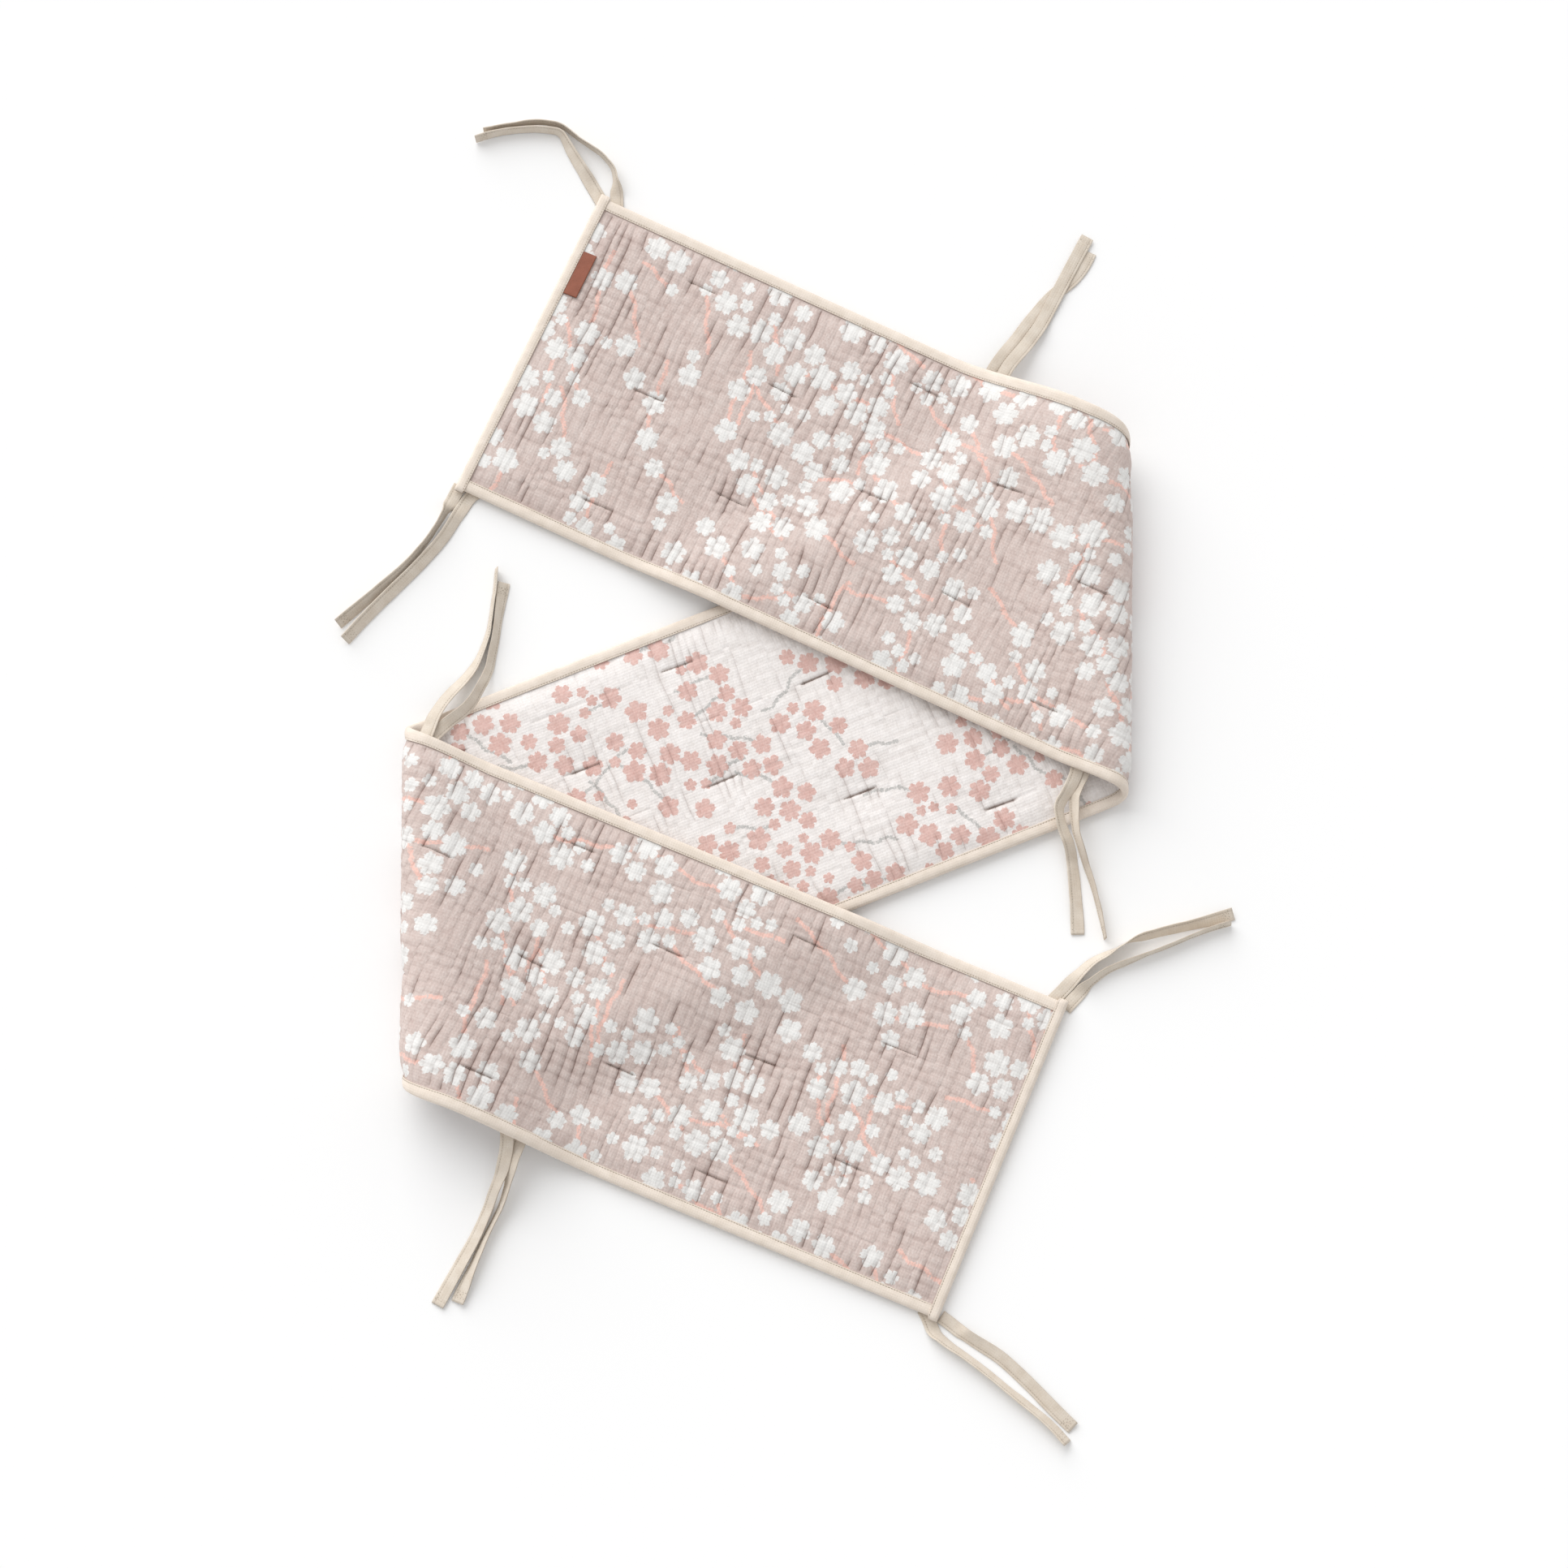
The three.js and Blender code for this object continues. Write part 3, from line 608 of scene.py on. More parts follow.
def printedBlossoms(add, base, ragged, fleckShare, cloudShare, c):
    # petals as a limit on the radius that follows the angle; they part towards the middle
    bloomUv = add("UVMap", uv_map="bloom")
    spot = add("SeparateXYZ", [(0, bloomUv)], out=None)
    petals = add("SeparateXYZ", [(0, add("UVMap", uv_map="kind"))])
    radius = add("VectorMath", [(0, bloomUv)], out="Value", operation="LENGTH")
    angle = add("Math", [(0, spot[1]), (1, spot[0])], operation="ARCTAN2")
    halfPetals = add("Math", [(0, petals), (1, 0.5)], operation="MULTIPLY")
    swing = add("Math", [(0, angle), (1, halfPetals)], operation="MULTIPLY")
    wave = add("Math", [(0, swing)], operation="COSINE")
    lobe = add("Math", [(0, wave)], operation="ABSOLUTE")
    rounded = add("Math", [(0, lobe), (1, flower["roundness"])], operation="POWER")
    outline = [(0, rounded), (1, flower["lobe"]), (2, flower["core"])]
    reach = add("Math", outline, operation="MULTIPLY_ADD")
    reach = add("Math", [(0, ragged), (1, flower["rag"]), (2, reach)], operation="MULTIPLY_ADD")
    inside = add("Math", [(0, reach), (1, radius)], operation="SUBTRACT")
    shown = add("MapRange", [(0, inside), (1, -0.035), (2, 0.045)])
    between = add("Math", [(0, 1.0), (1, lobe)], operation="SUBTRACT")
    narrow = add("Math", [(0, between), (1, 5.0)], operation="POWER")
    outwards = add("MapRange", [(0, radius), (1, 0.12), (2, 0.5)])
    parting = add("Math", [(0, narrow), (1, outwards)], operation="MULTIPLY")
    parting = add("Math", [(0, parting), (1, flower["parting"])], operation="MULTIPLY")
    tint = add("Math", [(0, fleckShare), (1, 0.55)], operation="MULTIPLY")
    tint = add("Math", [(0, cloudShare), (1, 0.45), (2, tint)], operation="MULTIPLY_ADD")
    first, second, gap = (colour(tone) for tone in c["petal"])
    petal = add("Mix", [(0, tint), (6, first), (7, second)], **rgba)
    petal = add("Mix", [(0, parting), (6, petal), (7, gap)], **rgba)
    return add("Mix", [(0, shown), (6, base), (7, petal)], **rgba), shown


def shadedCreases(add, base, share, deepest):
    # painted shade: a darker copy of the colour, mixed in where folds, seams and slits hold shade
    dark = [(0, 1.0), (6, base), (7, colour(deepest))]
    dark = add("Mix", dark, **rgba, blend_type="MULTIPLY")
    return add("Mix", [(0, share), (6, base), (7, dark)], **rgba)


def muslin(name, c):
    # crinkled double muslin of heathered yarn, with a raised print: matte, soft, shaded in its creases
    material, shader, add = newMaterial(name)
    cloth = add("UVMap", uv_map="cloth")
    crease = add("Attribute", out="Fac", attribute_name="crease")
    base, fleck, fleckShare, cloudShare = heatheredGround(add, cloth, c["ground"])
    fringe = add("TexNoise", [
        ("Vector", cloth), ("Scale", perMetre(yarn["fringe"])), ("Detail", 3.0), ("Roughness", 0.62)])
    ragged = add("Math", [(0, fringe), (1, 0.5)], operation="SUBTRACT")
    base = printedTwigs(add, base, ragged, fleck, c)
    base, shown = printedBlossoms(add, base, ragged, fleckShare, cloudShare, c)
    # painted shade in the creases and tuft slits
    sharp = add("Math", [(0, crease), (1, 1.3)], operation="POWER")
    share = add("Math", [(0, sharp), (1, c["creaseShare"])], operation="MULTIPLY", use_clamp=True)
    base = shadedCreases(add, base, share, c["crease"])
    threads = crossedThreads(add, cloth, yarn["thread"], 2.5)
    weave = add("Math", [(0, threads), (1, 0.12)], operation="MULTIPLY")
    weave = add("Math", [(0, fleck), (1, 0.5), (2, weave)], operation="MULTIPLY_ADD")
    weave = add("Math", [(0, shown), (1, 0.12), (2, weave)], operation="MULTIPLY_ADD")
    drawn = add("Mapping", [("Vector", cloth), ("Scale", (1.0, 0.3, 1.0))])
    slub = add("TexNoise", [("Vector", drawn), ("Scale", perMetre(yarn["slub"])), ("Detail", 2.0)])
    height = add("Math", [(0, slub), (1, 0.9), (2, weave)], operation="MULTIPLY_ADD")
    joinSurface(shader, add, base, (height, 0.55, 1.1))
    setPlain(shader, {
        "Roughness": 0.95, "Specular IOR Level": 0.2, "Sheen Weight": 0.12, "Sheen Roughness": 0.6})
    return material


def cotton(name, light, dark):
    # plain woven cotton tape, pressed flat: close threads, drawn 2.2 mm apart to show, and a faint cloudiness
    material, shader, add = newMaterial(name)
    cloth = add("UVMap", uv_map="cloth")
    crease = add("Attribute", out="Fac", attribute_name="crease")
    cloud = add("TexNoise", [("Vector", cloth), ("Scale", perMetre(11.1111)), ("Detail", 5.0)])
    fine = add("TexNoise", [("Vector", cloth), ("Scale", perMetre(1.1111)), ("Detail", 2.0)])
    share = add("Math", [(0, cloud), (1, 0.6)], operation="MULTIPLY")
    share = add("Math", [(0, fine), (1, 0.4), (2, share)], operation="MULTIPLY_ADD")
    share = add("MapRange", [(0, share), (1, 0.36), (2, 0.64)])
    base = add("Mix", [(0, share), (6, colour(dark)), (7, colour(light))], **rgba)
    # painted shade along the stitch lines and at the edges where the cloth meets the pad or its layers part
    coated = add("Math", [(0, crease), (1, 0.6)], operation="MULTIPLY", use_clamp=True)
    base = shadedCreases(add, base, coated, "#A08F7C")
    joinSurface(shader, add, base, (crossedThreads(add, cloth, 2.1933, 1.0), 0.3, 0.2))
    setPlain(shader, {"Roughness": 0.88, "Specular IOR Level": 0.25, "Sheen Weight": 0.08})
    return material


def thread(name, light, dark):
    # spun polyester thread, slightly lustrous, mottled along its length
    material, shader, add = newMaterial(name)
    place = add("TexCoord", out="Object")
    share = add("TexNoise", [("Vector", place), ("Scale", perMetre(1.4286)), ("Detail", 1.0)])
    base = add("Mix", [(0, share), (6, colour(dark)), (7, colour(light))], **rgba)
    joinSurface(shader, add, base)
    setPlain(shader, {"Roughness": 0.6})
    return material


def leather(name):
    # smooth vegetable-tanned leather: faint pores, a warm sheen and burnished darker edges
    material, shader, add = newMaterial(name)
    place = add("TexCoord", out="Object")
    cloud = add("TexNoise", [("Vector", place), ("Scale", perMetre(8.3333)), ("Detail", 5.0)])
    rub = add("Attribute", out="Fac", attribute_name="crease")
    share = add("MapRange", [(0, cloud), (1, 0.3), (2, 0.7)])
    tones = [(0, share), (6, colour("#82452D")), (7, colour("#904F37"))]
    base = add("Mix", tones, **rgba)
    base = add("Mix", [(0, rub), (6, base), (7, colour("#6E3A26"))], **rgba)
    pores = add("TexVoronoi", [("Vector", place), ("Scale", perMetre(0.7143))], out="Distance")
    height = add("Math", [(0, cloud), (1, 0.6), (2, pores)], operation="MULTIPLY_ADD")
    joinSurface(shader, add, base, (height, 0.25, 0.3))
    setPlain(shader, {"Roughness": 0.5, "Specular IOR Level": 0.4})
    return material


mauveMuslin = muslin("mauveCrinkledMuslin", mauveCloth)
whiteMuslin = muslin("whiteCrinkledMuslin", whiteCloth)
bindingCotton = cotton("bindingPlainCotton", "#EDE1D5", "#E0D3C5")
tieCotton = cotton("tiePlainCotton", "#E0D6C9", "#D2C5B5")
seamThread = thread("spunSeamThread", "#B5A996", "#7E715F")
tuftThread = thread("spunTuftThread", "#B9B0A8", "#857A71")
tannedLeather = leather("tannedLeather")

panelSides = (("mauve_muslin", 1, 11), ("white_muslin", -1, 31))  # slot, side and seed
addPanel("panelFront", "panel_front", *panelSides[0], mauveMuslin, mauvePrint)
addPanel("panelBack", "panel_back", *panelSides[1], whiteMuslin, whitePrint)

# bindings
binding = {
    "width": 10.5, "half": 3.3, "wall": 1.0, "spine": 1.4, "inset": 1.62, "step": 3.0, "stitchIn": 1.3,
    "cloth": 26.5, "cut": strip["length"],  # width and length of the flat strip that is folded over
}
endBinding = {
    **binding, "width": 9.5, "half": 4.4, "wall": 0.8, "spine": 1.12, "ear": 2.5, "step": 2.0, "cut": 305.0,
}


def bindingProfile(b):
    # the section of a strip of cotton folded over the edge: x from the fold inwards, w either side
    w, h, wall = b["width"], b["half"], b["wall"]
    inner = h - wall
    upper = [
        (-w, inner + 0.1), (-w, h - 0.3), (-w + 0.3, h - 0.05), (-w + 0.8, h - 0.02),
        (-w + b["stitchIn"], h - 0.2), (-w + 1.9, h), (-w + 3.0, h + 0.15), (-w * 0.52, h + 0.2),
        (-w * 0.32, h + 0.05), (-w * 0.19, h - 0.4), (-w * 0.1, h * 0.70), (-w * 0.035, h * 0.42),
    ]
    lower = [(x, -y) for x, y in reversed(upper)]
    inside = [
        (-w * 0.5, -inner + 0.1), (-b["spine"] - 0.3, -inner * 0.8), (-b["spine"], 0.0),
        (-b["spine"] - 0.3, inner * 0.8), (-w * 0.5, inner - 0.1),
    ]
    return np.array(upper + [(0.0, 0.0)] + lower + inside)


def girthOf(section):
    # how far round a closed section each of its points is, the first one again at the end
    return np.concatenate([[0], np.cumsum(np.hypot(*np.diff(np.vstack([section, section[:1]]), axis=0).T))])


def addBinding(name, node, b, places, toStrip, clockwise):
    profile = bindingProfile(b)
    count, rings = len(profile), len(places)
    x, w = np.tile(profile[:, 0], rings), np.tile(profile[:, 1], rings)
    place = np.repeat(places, count)
    ends = np.minimum(place - places[0], places[-1] - place)
    pucker = smoothNoise(place / 5.5 + x / 5, x / 6, 61) * 0.16 + smoothNoise(place / 17, x / 9, 62) * 0.2
    w = w * (1 + pucker / b["half"] * (np.abs(w) > b["half"] * 0.5))
    if "ear" in b:
        w = w * (0.5 + 0.5 * smoothstep(ends, 0, 3.0))
        x = x * (0.86 + 0.14 * smoothstep(ends, 0, 3.0))
    s, t = toStrip(place, x)
    points = carried(s, t, w)
    i, j = (grid.ravel() for grid in np.meshgrid(np.arange(rings - 1), np.arange(count), indexing="ij"))
    nextJ = (j + 1) % count
    faces = np.column_stack([i * count + j, i * count + nextJ, (i + 1) * count + nextJ, (i + 1) * count + j])
    caps = [list(range(count))[::-1], list(range((rings - 1) * count, rings * count))]
    if not clockwise:
        faces = faces[:, ::-1]
        caps = [face[::-1] for face in caps]
    piece = addMesh(name, points, faces.tolist() + caps, bindingCotton)
    girth = girthOf(profile)
    u = places[np.column_stack([i, i, i + 1, i + 1])]
    v = np.column_stack([girth[j], girth[j + 1], girth[j + 1], girth[j]])
    if not clockwise:
        u, v = u[:, ::-1], v[:, ::-1]
    capMap = profile[np.concatenate(caps) % count] * mm
    addMap(piece, "cloth", np.vstack([np.column_stack([u.ravel(), v.ravel()]) * mm, capMap]))
    # painted shade: the stitch line and the inner edge, where the binding meets the pad, are darkened as if
    # in shade
    nearSeam = np.exp(-((profile[:, 0] + b["width"] - b["stitchIn"]) / 0.5) ** 2)
    nearSeam = nearSeam * (np.abs(profile[:, 1]) > b["half"] - 1)
    edgeOfIt = np.exp(-((profile[:, 0] + b["width"]) / 0.25) ** 2)
    addPointValue(piece, "crease", np.tile(0.35 * nearSeam + 0.7 * edgeOfIt, rings))
    finishPiece(piece, "binding_cotton", node)


longPlaces = np.linspace(
    binding["inset"], strip["length"] - binding["inset"], int(strip["length"] / binding["step"]))
endReach = half + endBinding["ear"]
endPlaces = np.linspace(-endReach, endReach, int(strip["width"] / endBinding["step"]))
for run in (
    ("bindingUpper", "binding_edge_1", binding, longPlaces, lambda p, x: (p, half + x), False),
    ("bindingLower", "binding_edge_2", binding, longPlaces, lambda p, x: (p, -half - x), True),
    ("bindingFirstEnd", "binding_end_A", endBinding, endPlaces, lambda p, x: (-x, p), False),
    ("bindingLastEnd", "binding_end_C", endBinding, endPlaces, lambda p, x: (strip["length"] + x, p), True),
):
    addBinding(*run)
print("bindings made")

# the bare leather label

def plateLines(length, arris, count):
    # places along one side of the plate, close together at its rounded edges
    edge = [0, 0.08, arris]
    return np.concatenate([edge, np.linspace(1, length - 1, count - 4), [length - v for v in reversed(edge)]])


def addLabel():
    # a thin plate with rounded arrises, laid on the pad beside the end binding
    arris = 0.32
    xs, ys = plateLines(label["width"], arris, 14), plateLines(label["length"], arris, 44)
    top, faces, points, rub = {}, [], [], []

    def lift(x, y):
        edge = min(x, label["width"] - x, y, label["length"] - y)
        return label["thickness"] - (arris - min(edge, arris)) ** 2 / arris * 0.9

    for level in (0, 1):
        for i, x in enumerate(xs):
            for j, y in enumerate(ys):
                z = lift(x, y) if level else 0.0
                top[level, i, j] = len(points)
                under = label["under"] + x * label["rise"]
                points.append((label["s0"] + x, label["from"] + y, under + z))
                edge = min(x, label["width"] - x, y, label["length"] - y)
                rub.append(0.75 if edge < 0.01 else 0.35 * math.exp(-edge / 0.5))
    ni, nj = len(xs), len(ys)
    for i in range(ni - 1):
        for j in range(nj - 1):
            faces.append([top[1, i, j], top[1, i + 1, j], top[1, i + 1, j + 1], top[1, i, j + 1]])
            faces.append([top[0, i, j], top[0, i, j + 1], top[0, i + 1, j + 1], top[0, i + 1, j]])
    for i in range(ni - 1):
        faces.append([top[0, i, 0], top[0, i + 1, 0], top[1, i + 1, 0], top[1, i, 0]])
        faces.append([top[0, i + 1, nj - 1], top[0, i, nj - 1], top[1, i, nj - 1], top[1, i + 1, nj - 1]])
    for j in range(nj - 1):
        faces.append([top[0, 0, j + 1], top[0, 0, j], top[1, 0, j], top[1, 0, j + 1]])
        faces.append([top[0, ni - 1, j], top[0, ni - 1, j + 1], top[1, ni - 1, j + 1], top[1, ni - 1, j]])
    places = np.array(points)
    piece = addMesh("leatherLabel", carried(places[:, 0], places[:, 1], places[:, 2]), faces, tannedLeather)
    addPointValue(piece, "crease", rub)
    finishPiece(piece, "label_leather", "label")


addLabel()
print("label made")

# ties: rows are distance from the root, heading, height of what it lies on, roll
tape = {
    "width": 12.0, "thickness": 1.1, "tucked": 4.0, "lift": 0.1, "fine": 132, "rings": 66,
    "cloth": 12.5, "seam": 2.6,  # width of the flat tape, and how far in its seam runs
    "cross": (4.4, 4.0, 9.5),  # half width of the crossed stitches, and their two places from the free end
}
ties = [
    ("1a", 1, 4, 119, 0, [
        (16, 120, 0.1, 0), (40, 122, 0.1, -35), (58, 120, 0.1, -48), (70, 116, 0.1, -62), (84, 171, 0.1, -76),
        (112, 185, 0.1, -78), (155, 199, 0.1, -74)]),
    ("1b", 1, 18.5, 91, 0.5, [
        (12, 91, 0.1, 0), (30, 98, 0.1, -70), (48, 130, 0.1, -84), (68, 147, 0.1, -86), (92, 140, 0.1, -86),
        (112, 171, 0.1, -85), (140, 191, 0.1, -84), (173, 191, 0.1, -82)]),
    ("2a", -1, 18.5, 215, 0.5, [
        (16, 239, 0.1, 0), (32, 240, 0.1, -34), (75, 228, 0.1, -38), (110, 225, 0.1, -38),
        (179, 229, 0.1, -40)]),
    ("2b", -1, 2.5, 243, 0, [
        (16, 243, 0.1, 0), (29, 243, 0.1, -70), (48, 238, 0.1, -78), (75, 231, 0.1, -68),
        (110, 221, 0.1, -54), (169, 221, 0.1, -42)]),
    ("3a", 1, 402, 70, 3.4, [(25, 51, 14, 0), (50, 55, 6, 4), (80, 63, 1.6, 4), (160, 62, 1.5, 4)]),
    ("3b", 1, 390, 62, 5.2, [
        (25, 52, 10, 0), (50, 55, 2.5, 0), (80, 51, 0.1, 0), (110, 39, 0.1, 0), (152, 66, 0.1, 0)]),
    ("4a", -1, 611, 262, 2, [
        (16, 244, 18, -20), (32, 236, 14.5, -40), (50, 282, 13, -48), (66, 293, 11, -30), (92, 276, 0.1, -30),
        (120, 274, 0.1, -22), (154, 272, 0.1, -2)]),
    ("4b", -1, 618, 246, 6, [
        (16, 247, 14, 30), (32, 269, 13.2, 45), (52, 275, 13, 58), (66, 289, 11, 64), (92, 289, 0.1, 70),
        (120, 283, 0.1, 76), (155, 280, 0.1, 84)]),
    ("5a", 1, 1271, 75, 3, [
        (18, 71, 18, -14), (34, 60, 12, -28), (48, 50, 9.8, -32), (74, 52, 0.1, -42), (96, 68, 0.1, -60),
        (130, 82, 0.1, -72), (176, 86, 0.1, -76)]),
    ("5b", 1, 1277, 87, 6, [
        (14, 44, 15, 10), (34, 37, 13.2, 35), (66, 63, 12.5, 50), (94, 78, 0.1, 55), (130, 83, 0.1, 58),
        (169, 81, 0.1, 30)]),
    ("6a", 1, 1869, 42, 0, [
        (18, 46, 0.1, 0), (42, 44, 0.1, -45), (62, 27, 0.1, -58), (80, 30, 0.1, -80), (106, 15, 0.1, -120),
        (136, 13, 0.1, -128), (185, 17, 0.1, -158)]),
    ("6b", 1, 1883.2, 48, 0, [
        (16, 47, 0.1, 0), (34, 39, 0.1, 60), (64, 22, 0.1, 72), (94, 21, 0.1, 84), (126, 23, 0.1, 82),
        (168, 16, 0.1, 76)]),
    ("7a", -1, 1885.3, 325, 0, [
        (16, 321, 0.1, 0), (28, 326, 0.1, 32), (46, 329, 0.1, 20), (78, 317, 0.1, 17), (112, 314, 0.1, 16),
        (150, 316, 0.1, 10)]),
    ("7b", -1, 1869.1, 299, 0, [
        (16, 290, 0.1, 0), (30, 321, 0.1, -44), (50, 325, 0.1, -55), (90, 321, 0.1, -55),
        (130, 321, 0.1, -52), (172, 311, 0.1, -48)]),
    ("8a", -1, 1476.5, 271, 4.8, [
        (24, 258, 25, 0), (44, 246, 12, 34), (70, 249, 0.1, 38), (110, 241, 0.1, 28), (162, 241, 0.1, 8)]),
    ("8b", -1, 1489.5, 246, 6.5, [
        (24, 256, 21, 34), (44, 255, 9, 58), (70, 243, 0.1, 64), (110, 247, 0.1, 56), (152, 247, 0.1, 18)]),
]


def tapeFrames(edge, s, heading, under, rows):
    root = middle(np.array([float(s)]), np.array([edge * (half - tape["tucked"])]))[0]
    fromEnd = min(s, strip["length"] - s)
    above = endBinding["half"] if fromEnd < endBinding["width"] + tape["width"] / 2 else binding["half"]
    base = max(root[2] - above - 0.3 - tape["thickness"] - under, tape["lift"])
    table = np.array([(0, heading, base, 0), *rows], float)
    length = table[-1, 0]
    at = np.linspace(0, length, tape["fine"] + 1)
    k = np.clip(np.searchsorted(table[:, 0], at, side="left"), 1, len(table) - 1)
    share = (at - table[k - 1, 0]) / (table[k, 0] - table[k - 1, 0])
    share = (share * share * (3 - 2 * share))[:, None]
    value = table[k - 1] * (1 - share) + table[k] * share
    turn, roll = np.radians(value[:, 1]), np.radians(value[:, 3])
    ahead = np.column_stack([np.cos(turn), np.sin(turn), np.zeros(len(at))])
    steps = ahead * (length / tape["fine"])
    steps[0] = 0
    spot = root * (1, 1, 0) + np.cumsum(steps, axis=0)
    across = np.column_stack([-np.sin(turn) * np.cos(roll), np.cos(turn) * np.cos(roll), np.sin(roll)])
    lift = (np.abs(np.sin(roll)) * tape["width"] + np.abs(np.cos(roll)) * tape["thickness"]) / 2
    spot[:, 2] = value[:, 2] + lift
    return at, spot, across, np.cross(ahead, across), length


def tapeSection():
    # a tape folded in three and stitched: one round fold, one edge where the layers show
    w, h = tape["width"] / 2, tape["thickness"] / 2
    return np.array([
        (-w, 0.0), (-w + 0.12, h * 0.7), (-w + 0.5, h), (-w + 1.7, h * 1.02), (-w + 2.6, h * 0.62),
        (-w + 3.5, h), (-w * 0.2, h * 1.05), (w * 0.35, h), (w - 1.2, h), (w - 0.35, h * 0.9),
        (w, h * 0.35), (w - 0.25, 0.0), (w, -h * 0.35), (w - 0.35, -h * 0.9), (w - 1.2, -h),
        (w * 0.35, -h), (-w * 0.2, -h), (-w + 3.5, -h), (-w + 2.6, -h * 0.62), (-w + 1.7, -h),
        (-w + 0.5, -h), (-w + 0.12, -h * 0.7),
    ])


tapeLines = []


def addTie(tag, edge, s, heading, under, rows, seed):
    at, spot, across, through, length = tapeFrames(edge, s, heading, under, rows)
    pick = np.linspace(0, tape["fine"], tape["rings"] + 1).round().astype(int)
    section = tapeSection()
    count, rings = len(section), len(pick)
    place = np.repeat(at[pick], count)
    y, z = np.tile(section[:, 0], rings), np.tile(section[:, 1], rings)
    tip = length - place
    bend = 0.28 * smoothNoise(place / 13, y / 7, seed) + 0.1 * smoothNoise(place / 4, y / 3.5, seed + 1)
    z = z + bend * smoothstep(np.minimum(place, tip), 0, 9)
    z = z * (0.86 + 0.14 * smoothstep(tip, 0, 0.8))
    y = y * (0.975 + 0.025 * smoothstep(tip, 0, 0.8))
    ringPoint, ringAcross, ringThrough = (np.repeat(v[pick], count, axis=0) for v in (spot, across, through))
    points = ringPoint + y[:, None] * ringAcross + z[:, None] * ringThrough
    points[:, 2] = np.maximum(points[:, 2], 0.02)
    i, j = (grid.ravel() for grid in np.meshgrid(np.arange(rings - 1), np.arange(count), indexing="ij"))
    nextJ = (j + 1) % count
    faces = np.column_stack([i * count + j, (i + 1) * count + j, (i + 1) * count + nextJ, i * count + nextJ])
    caps = [list(range(count)), list(range((rings - 1) * count, rings * count))[::-1]]
    piece = addMesh("tie" + tag, points + shift, faces.tolist() + caps, tieCotton)
    girth = girthOf(section)
    u = at[pick][np.column_stack([i, i + 1, i + 1, i])]
    v = np.column_stack([girth[j], girth[j], girth[j + 1], girth[j + 1]])
    capMap = np.vstack([section * mm, section[::-1] * mm])
    addMap(piece, "cloth", np.vstack([np.column_stack([u.ravel(), v.ravel()]) * mm, capMap]))
    # painted shade along the seam and in the notch of the edge where the layers show
    seam = np.exp(-((section[:, 0] + tape["width"] / 2 - tape["seam"]) / 0.6) ** 2)
    cut = np.exp(-((section[:, 0] - tape["width"] / 2) / 0.3) ** 2)
    addPointValue(piece, "crease", np.tile(0.35 * seam + 0.5 * cut, rings))
    finishPiece(piece, "tie_cotton", "tie_" + tag)
    # the seam along one side, on both faces, and the cross stitches at the free end
    for face in (1, -1):
        off = face * tape["thickness"] / 2 * 0.74
        line = spot + (tape["seam"] - tape["width"] / 2) * across + off * through
        tapeLines.append(line[4:-3] + shift)
    wide, near, far = tape["cross"]
    share = np.linspace(0, 1, 6)
    width = share * 2 * wide - wide
    for start, end in ((near, near), (far, near), (near, far), (far, far)):
        back = np.searchsorted(at, length - (start + share * (end - start))) - 1
        for face in (1, -1):
            tapeLines.append(spot[back] + width[:, None] * across[back] + face * 0.56 * through[back] + shift)


for n, (tag, edge, s, heading, under, rows) in enumerate(ties):
    addTie(tag, edge, s, heading, under, rows, 300 + 5 * n)
print("ties made")

# stitches: one tree repeats a short thread along every seam line
# pitch, length and radius in mm
stitches = {"seam": (2.6, 1.75, 0.24), "tape": (2.5, 1.2, 0.2), "tuft": (2.3, 1.9, 0.34)}
stitchInputs = ("Pitch", "Stitch Length", "Thread Radius")


def stitchTree(material):
    tree = bpy.data.node_groups.new("stitchRow", "GeometryNodeTree")
    face = tree.interface
    face.new_socket("Geometry", in_out="INPUT", socket_type="NodeSocketGeometry")
    for name in stitchInputs:
        face.new_socket(name, in_out="INPUT", socket_type="NodeSocketFloat")
    face.new_socket("Geometry", in_out="OUTPUT", socket_type="NodeSocketGeometry")
    add = partial(addNode, tree)
    given = add("NodeGroupInput", out=None)
    curve = add("GeometryNodeMeshToCurve", [("Mesh", given["Geometry"])])
    along = [("Curve", curve), ("Length", given["Pitch"])]
    points = add("GeometryNodeCurveToPoints", along, out=None, mode="LENGTH")
    ball = add("GeometryNodeMeshUVSphere", [("Segments", 5), ("Rings", 4), ("Radius", 1.0)])
    reach = add("Math", [(0, given["Stitch Length"]), (1, 0.5)], operation="MULTIPLY")
    size = add("CombineXYZ", [(0, given["Thread Radius"]), (1, given["Thread Radius"]), (2, reach)])
    rows = add("GeometryNodeInstanceOnPoints", [
        ("Points", points["Points"]), ("Instance", ball), ("Rotation", points["Rotation"]), ("Scale", size)])
    solid = add("GeometryNodeRealizeInstances", [("Geometry", rows)])
    coated = add("GeometryNodeSetMaterial", [("Geometry", solid), ("Material", material)])
    shaded = add("GeometryNodeSetShadeSmooth", [("Geometry", coated)])
    add("NodeGroupOutput", [(0, shaded)], out=None)
    return tree


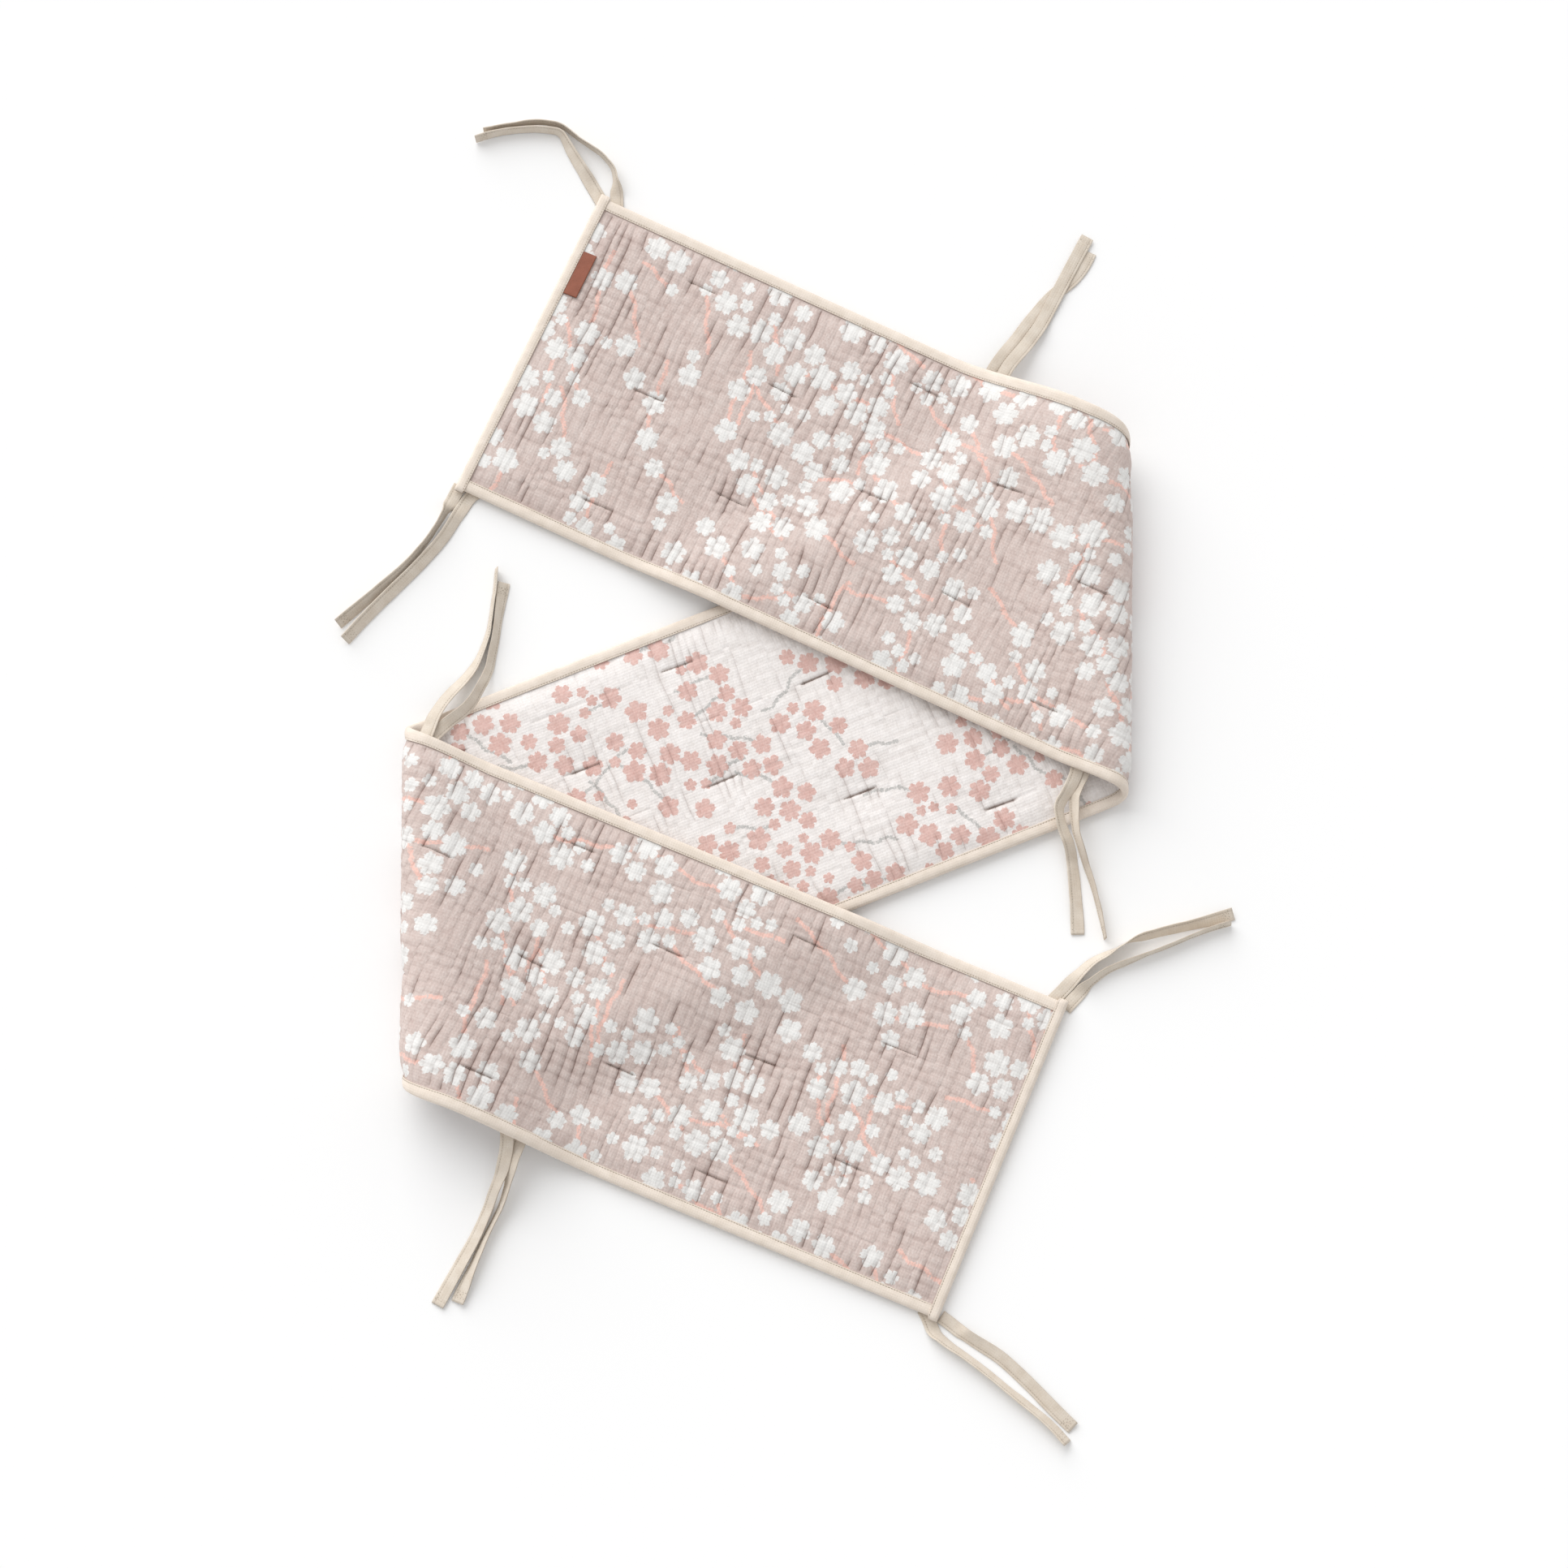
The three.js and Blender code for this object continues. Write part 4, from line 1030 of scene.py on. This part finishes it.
def addStitches(name, lines, size, material, slot):
    mesh = bpy.data.meshes.new(name)
    points = np.vstack(lines) * mm
    first = np.cumsum([0] + [len(line) for line in lines[:-1]])
    edges = [(a + k, a + k + 1) for a, line in zip(first, lines) for k in range(len(line) - 1)]
    mesh.from_pydata(points.tolist(), edges, [])
    guide = bpy.data.objects.new(name + "Guide", mesh)
    bpy.context.scene.collection.objects.link(guide)
    tree = stitchTree(material)
    modifier = guide.modifiers.new("stitches", "NODES")
    modifier.node_group = tree
    sockets = {item.name: item.identifier for item in tree.interface.items_tree if item.in_out == "INPUT"}
    for key, value in zip(stitchInputs, size):
        modifier[sockets[key]] = value * mm
    shown = guide.evaluated_get(bpy.context.evaluated_depsgraph_get())
    made = bpy.data.meshes.new_from_object(shown)
    bpy.data.objects.remove(guide)
    piece = bpy.data.objects.new(name, made)
    bpy.context.scene.collection.objects.link(piece)
    finishPiece(piece, slot)
    print(name, "has", len(made.polygons), "faces")


seamLines = []
along = np.arange(12, strip["length"] - 12, 4.0)
acrossEnd = np.arange(-half + 1, half, 4.0)
inward = half - binding["width"] + binding["stitchIn"]
endInward = endBinding["width"] - endBinding["stitchIn"]
for side in (1, -1):
    for edge in (1, -1):
        seamLines.append(carried(along, edge * inward, side * (binding["half"] - 0.1)))
    for place in (endInward, strip["length"] - endInward):
        seamLines.append(carried(place, acrossEnd, side * (endBinding["half"] - 0.1)))
addStitches("seamStitches", seamLines, stitches["seam"], seamThread, "binding_cotton")
addStitches("tieStitches", tapeLines, stitches["tape"], seamThread, "tie_cotton")

for slot, side, seed in panelSides:
    barLines = []
    creases = creasePlaces(seed)
    for spot, lean, nudge in zip(tufts, tuftTilt, tuftNudge):
        ds = np.linspace(-tuft["bar"] / 2, tuft["bar"] / 2, 14)
        barS = spot[0] + nudge[0] + ds
        barT = spot[1] + nudge[1] + math.tan(lean) * ds
        _, thick, _ = padSurface(barS, barT, creases, seed, side)
        thick = np.convolve(np.pad(thick, 2, mode="edge"), np.ones(5) / 5, mode="valid")
        barLines.append(carried(barS, barT, side * (thick + 0.25)))
    name = "tuftStitchesFront" if side > 0 else "tuftStitchesBack"
    addStitches(name, barLines, stitches["tuft"], tuftThread, slot)
print("stitches made")

# floor and light
stage = {
    "floor": 40.0, "sink": 0.3,  # the floor's side in metres, and how far below the piece it is in mm
    "world": 0.66, "key": 2.3, "keyAngle": 60.0, "keyFrom": (-0.42, 0.80, 0.59),
}
floorMesh = bpy.data.meshes.new("floor")
reach = stage["floor"] / 2
corners = [(x * reach, y * reach, -stage["sink"] * mm) for x, y in ((-1, -1), (1, -1), (1, 1), (-1, 1))]
floorMesh.from_pydata(corners, [], [(0, 1, 2, 3)])
floorPaint, floorShader, _ = newMaterial("paleStudioFloor")  # smooth matte board
setPlain(floorShader, {"Base Color": colour("#F9F9F9"), "Roughness": 1.0, "Specular IOR Level": 0.0})
floorMesh.materials.append(floorPaint)
floor = bpy.data.objects.new("floor", floorMesh)
bpy.context.scene.collection.objects.link(floor)

world = bpy.data.worlds.new("softRoom")
world.use_nodes = True
world.node_tree.nodes["Background"].inputs["Color"].default_value = (1, 1, 1, 1)
world.node_tree.nodes["Background"].inputs["Strength"].default_value = stage["world"]
bpy.context.scene.world = world
keyData = bpy.data.lights.new("key", "SUN")  # a very large, far softbox
keyData.energy, keyData.angle = stage["key"], math.radians(stage["keyAngle"])
key = bpy.data.objects.new("key", keyData)
key.location = 3 * Vector(stage["keyFrom"])
key.rotation_euler = (-Vector(stage["keyFrom"])).to_track_quat("-Z", "Y").to_euler()
bpy.context.scene.collection.objects.link(key)
bpy.context.scene.view_settings.view_transform = "Standard"
print("stage set")
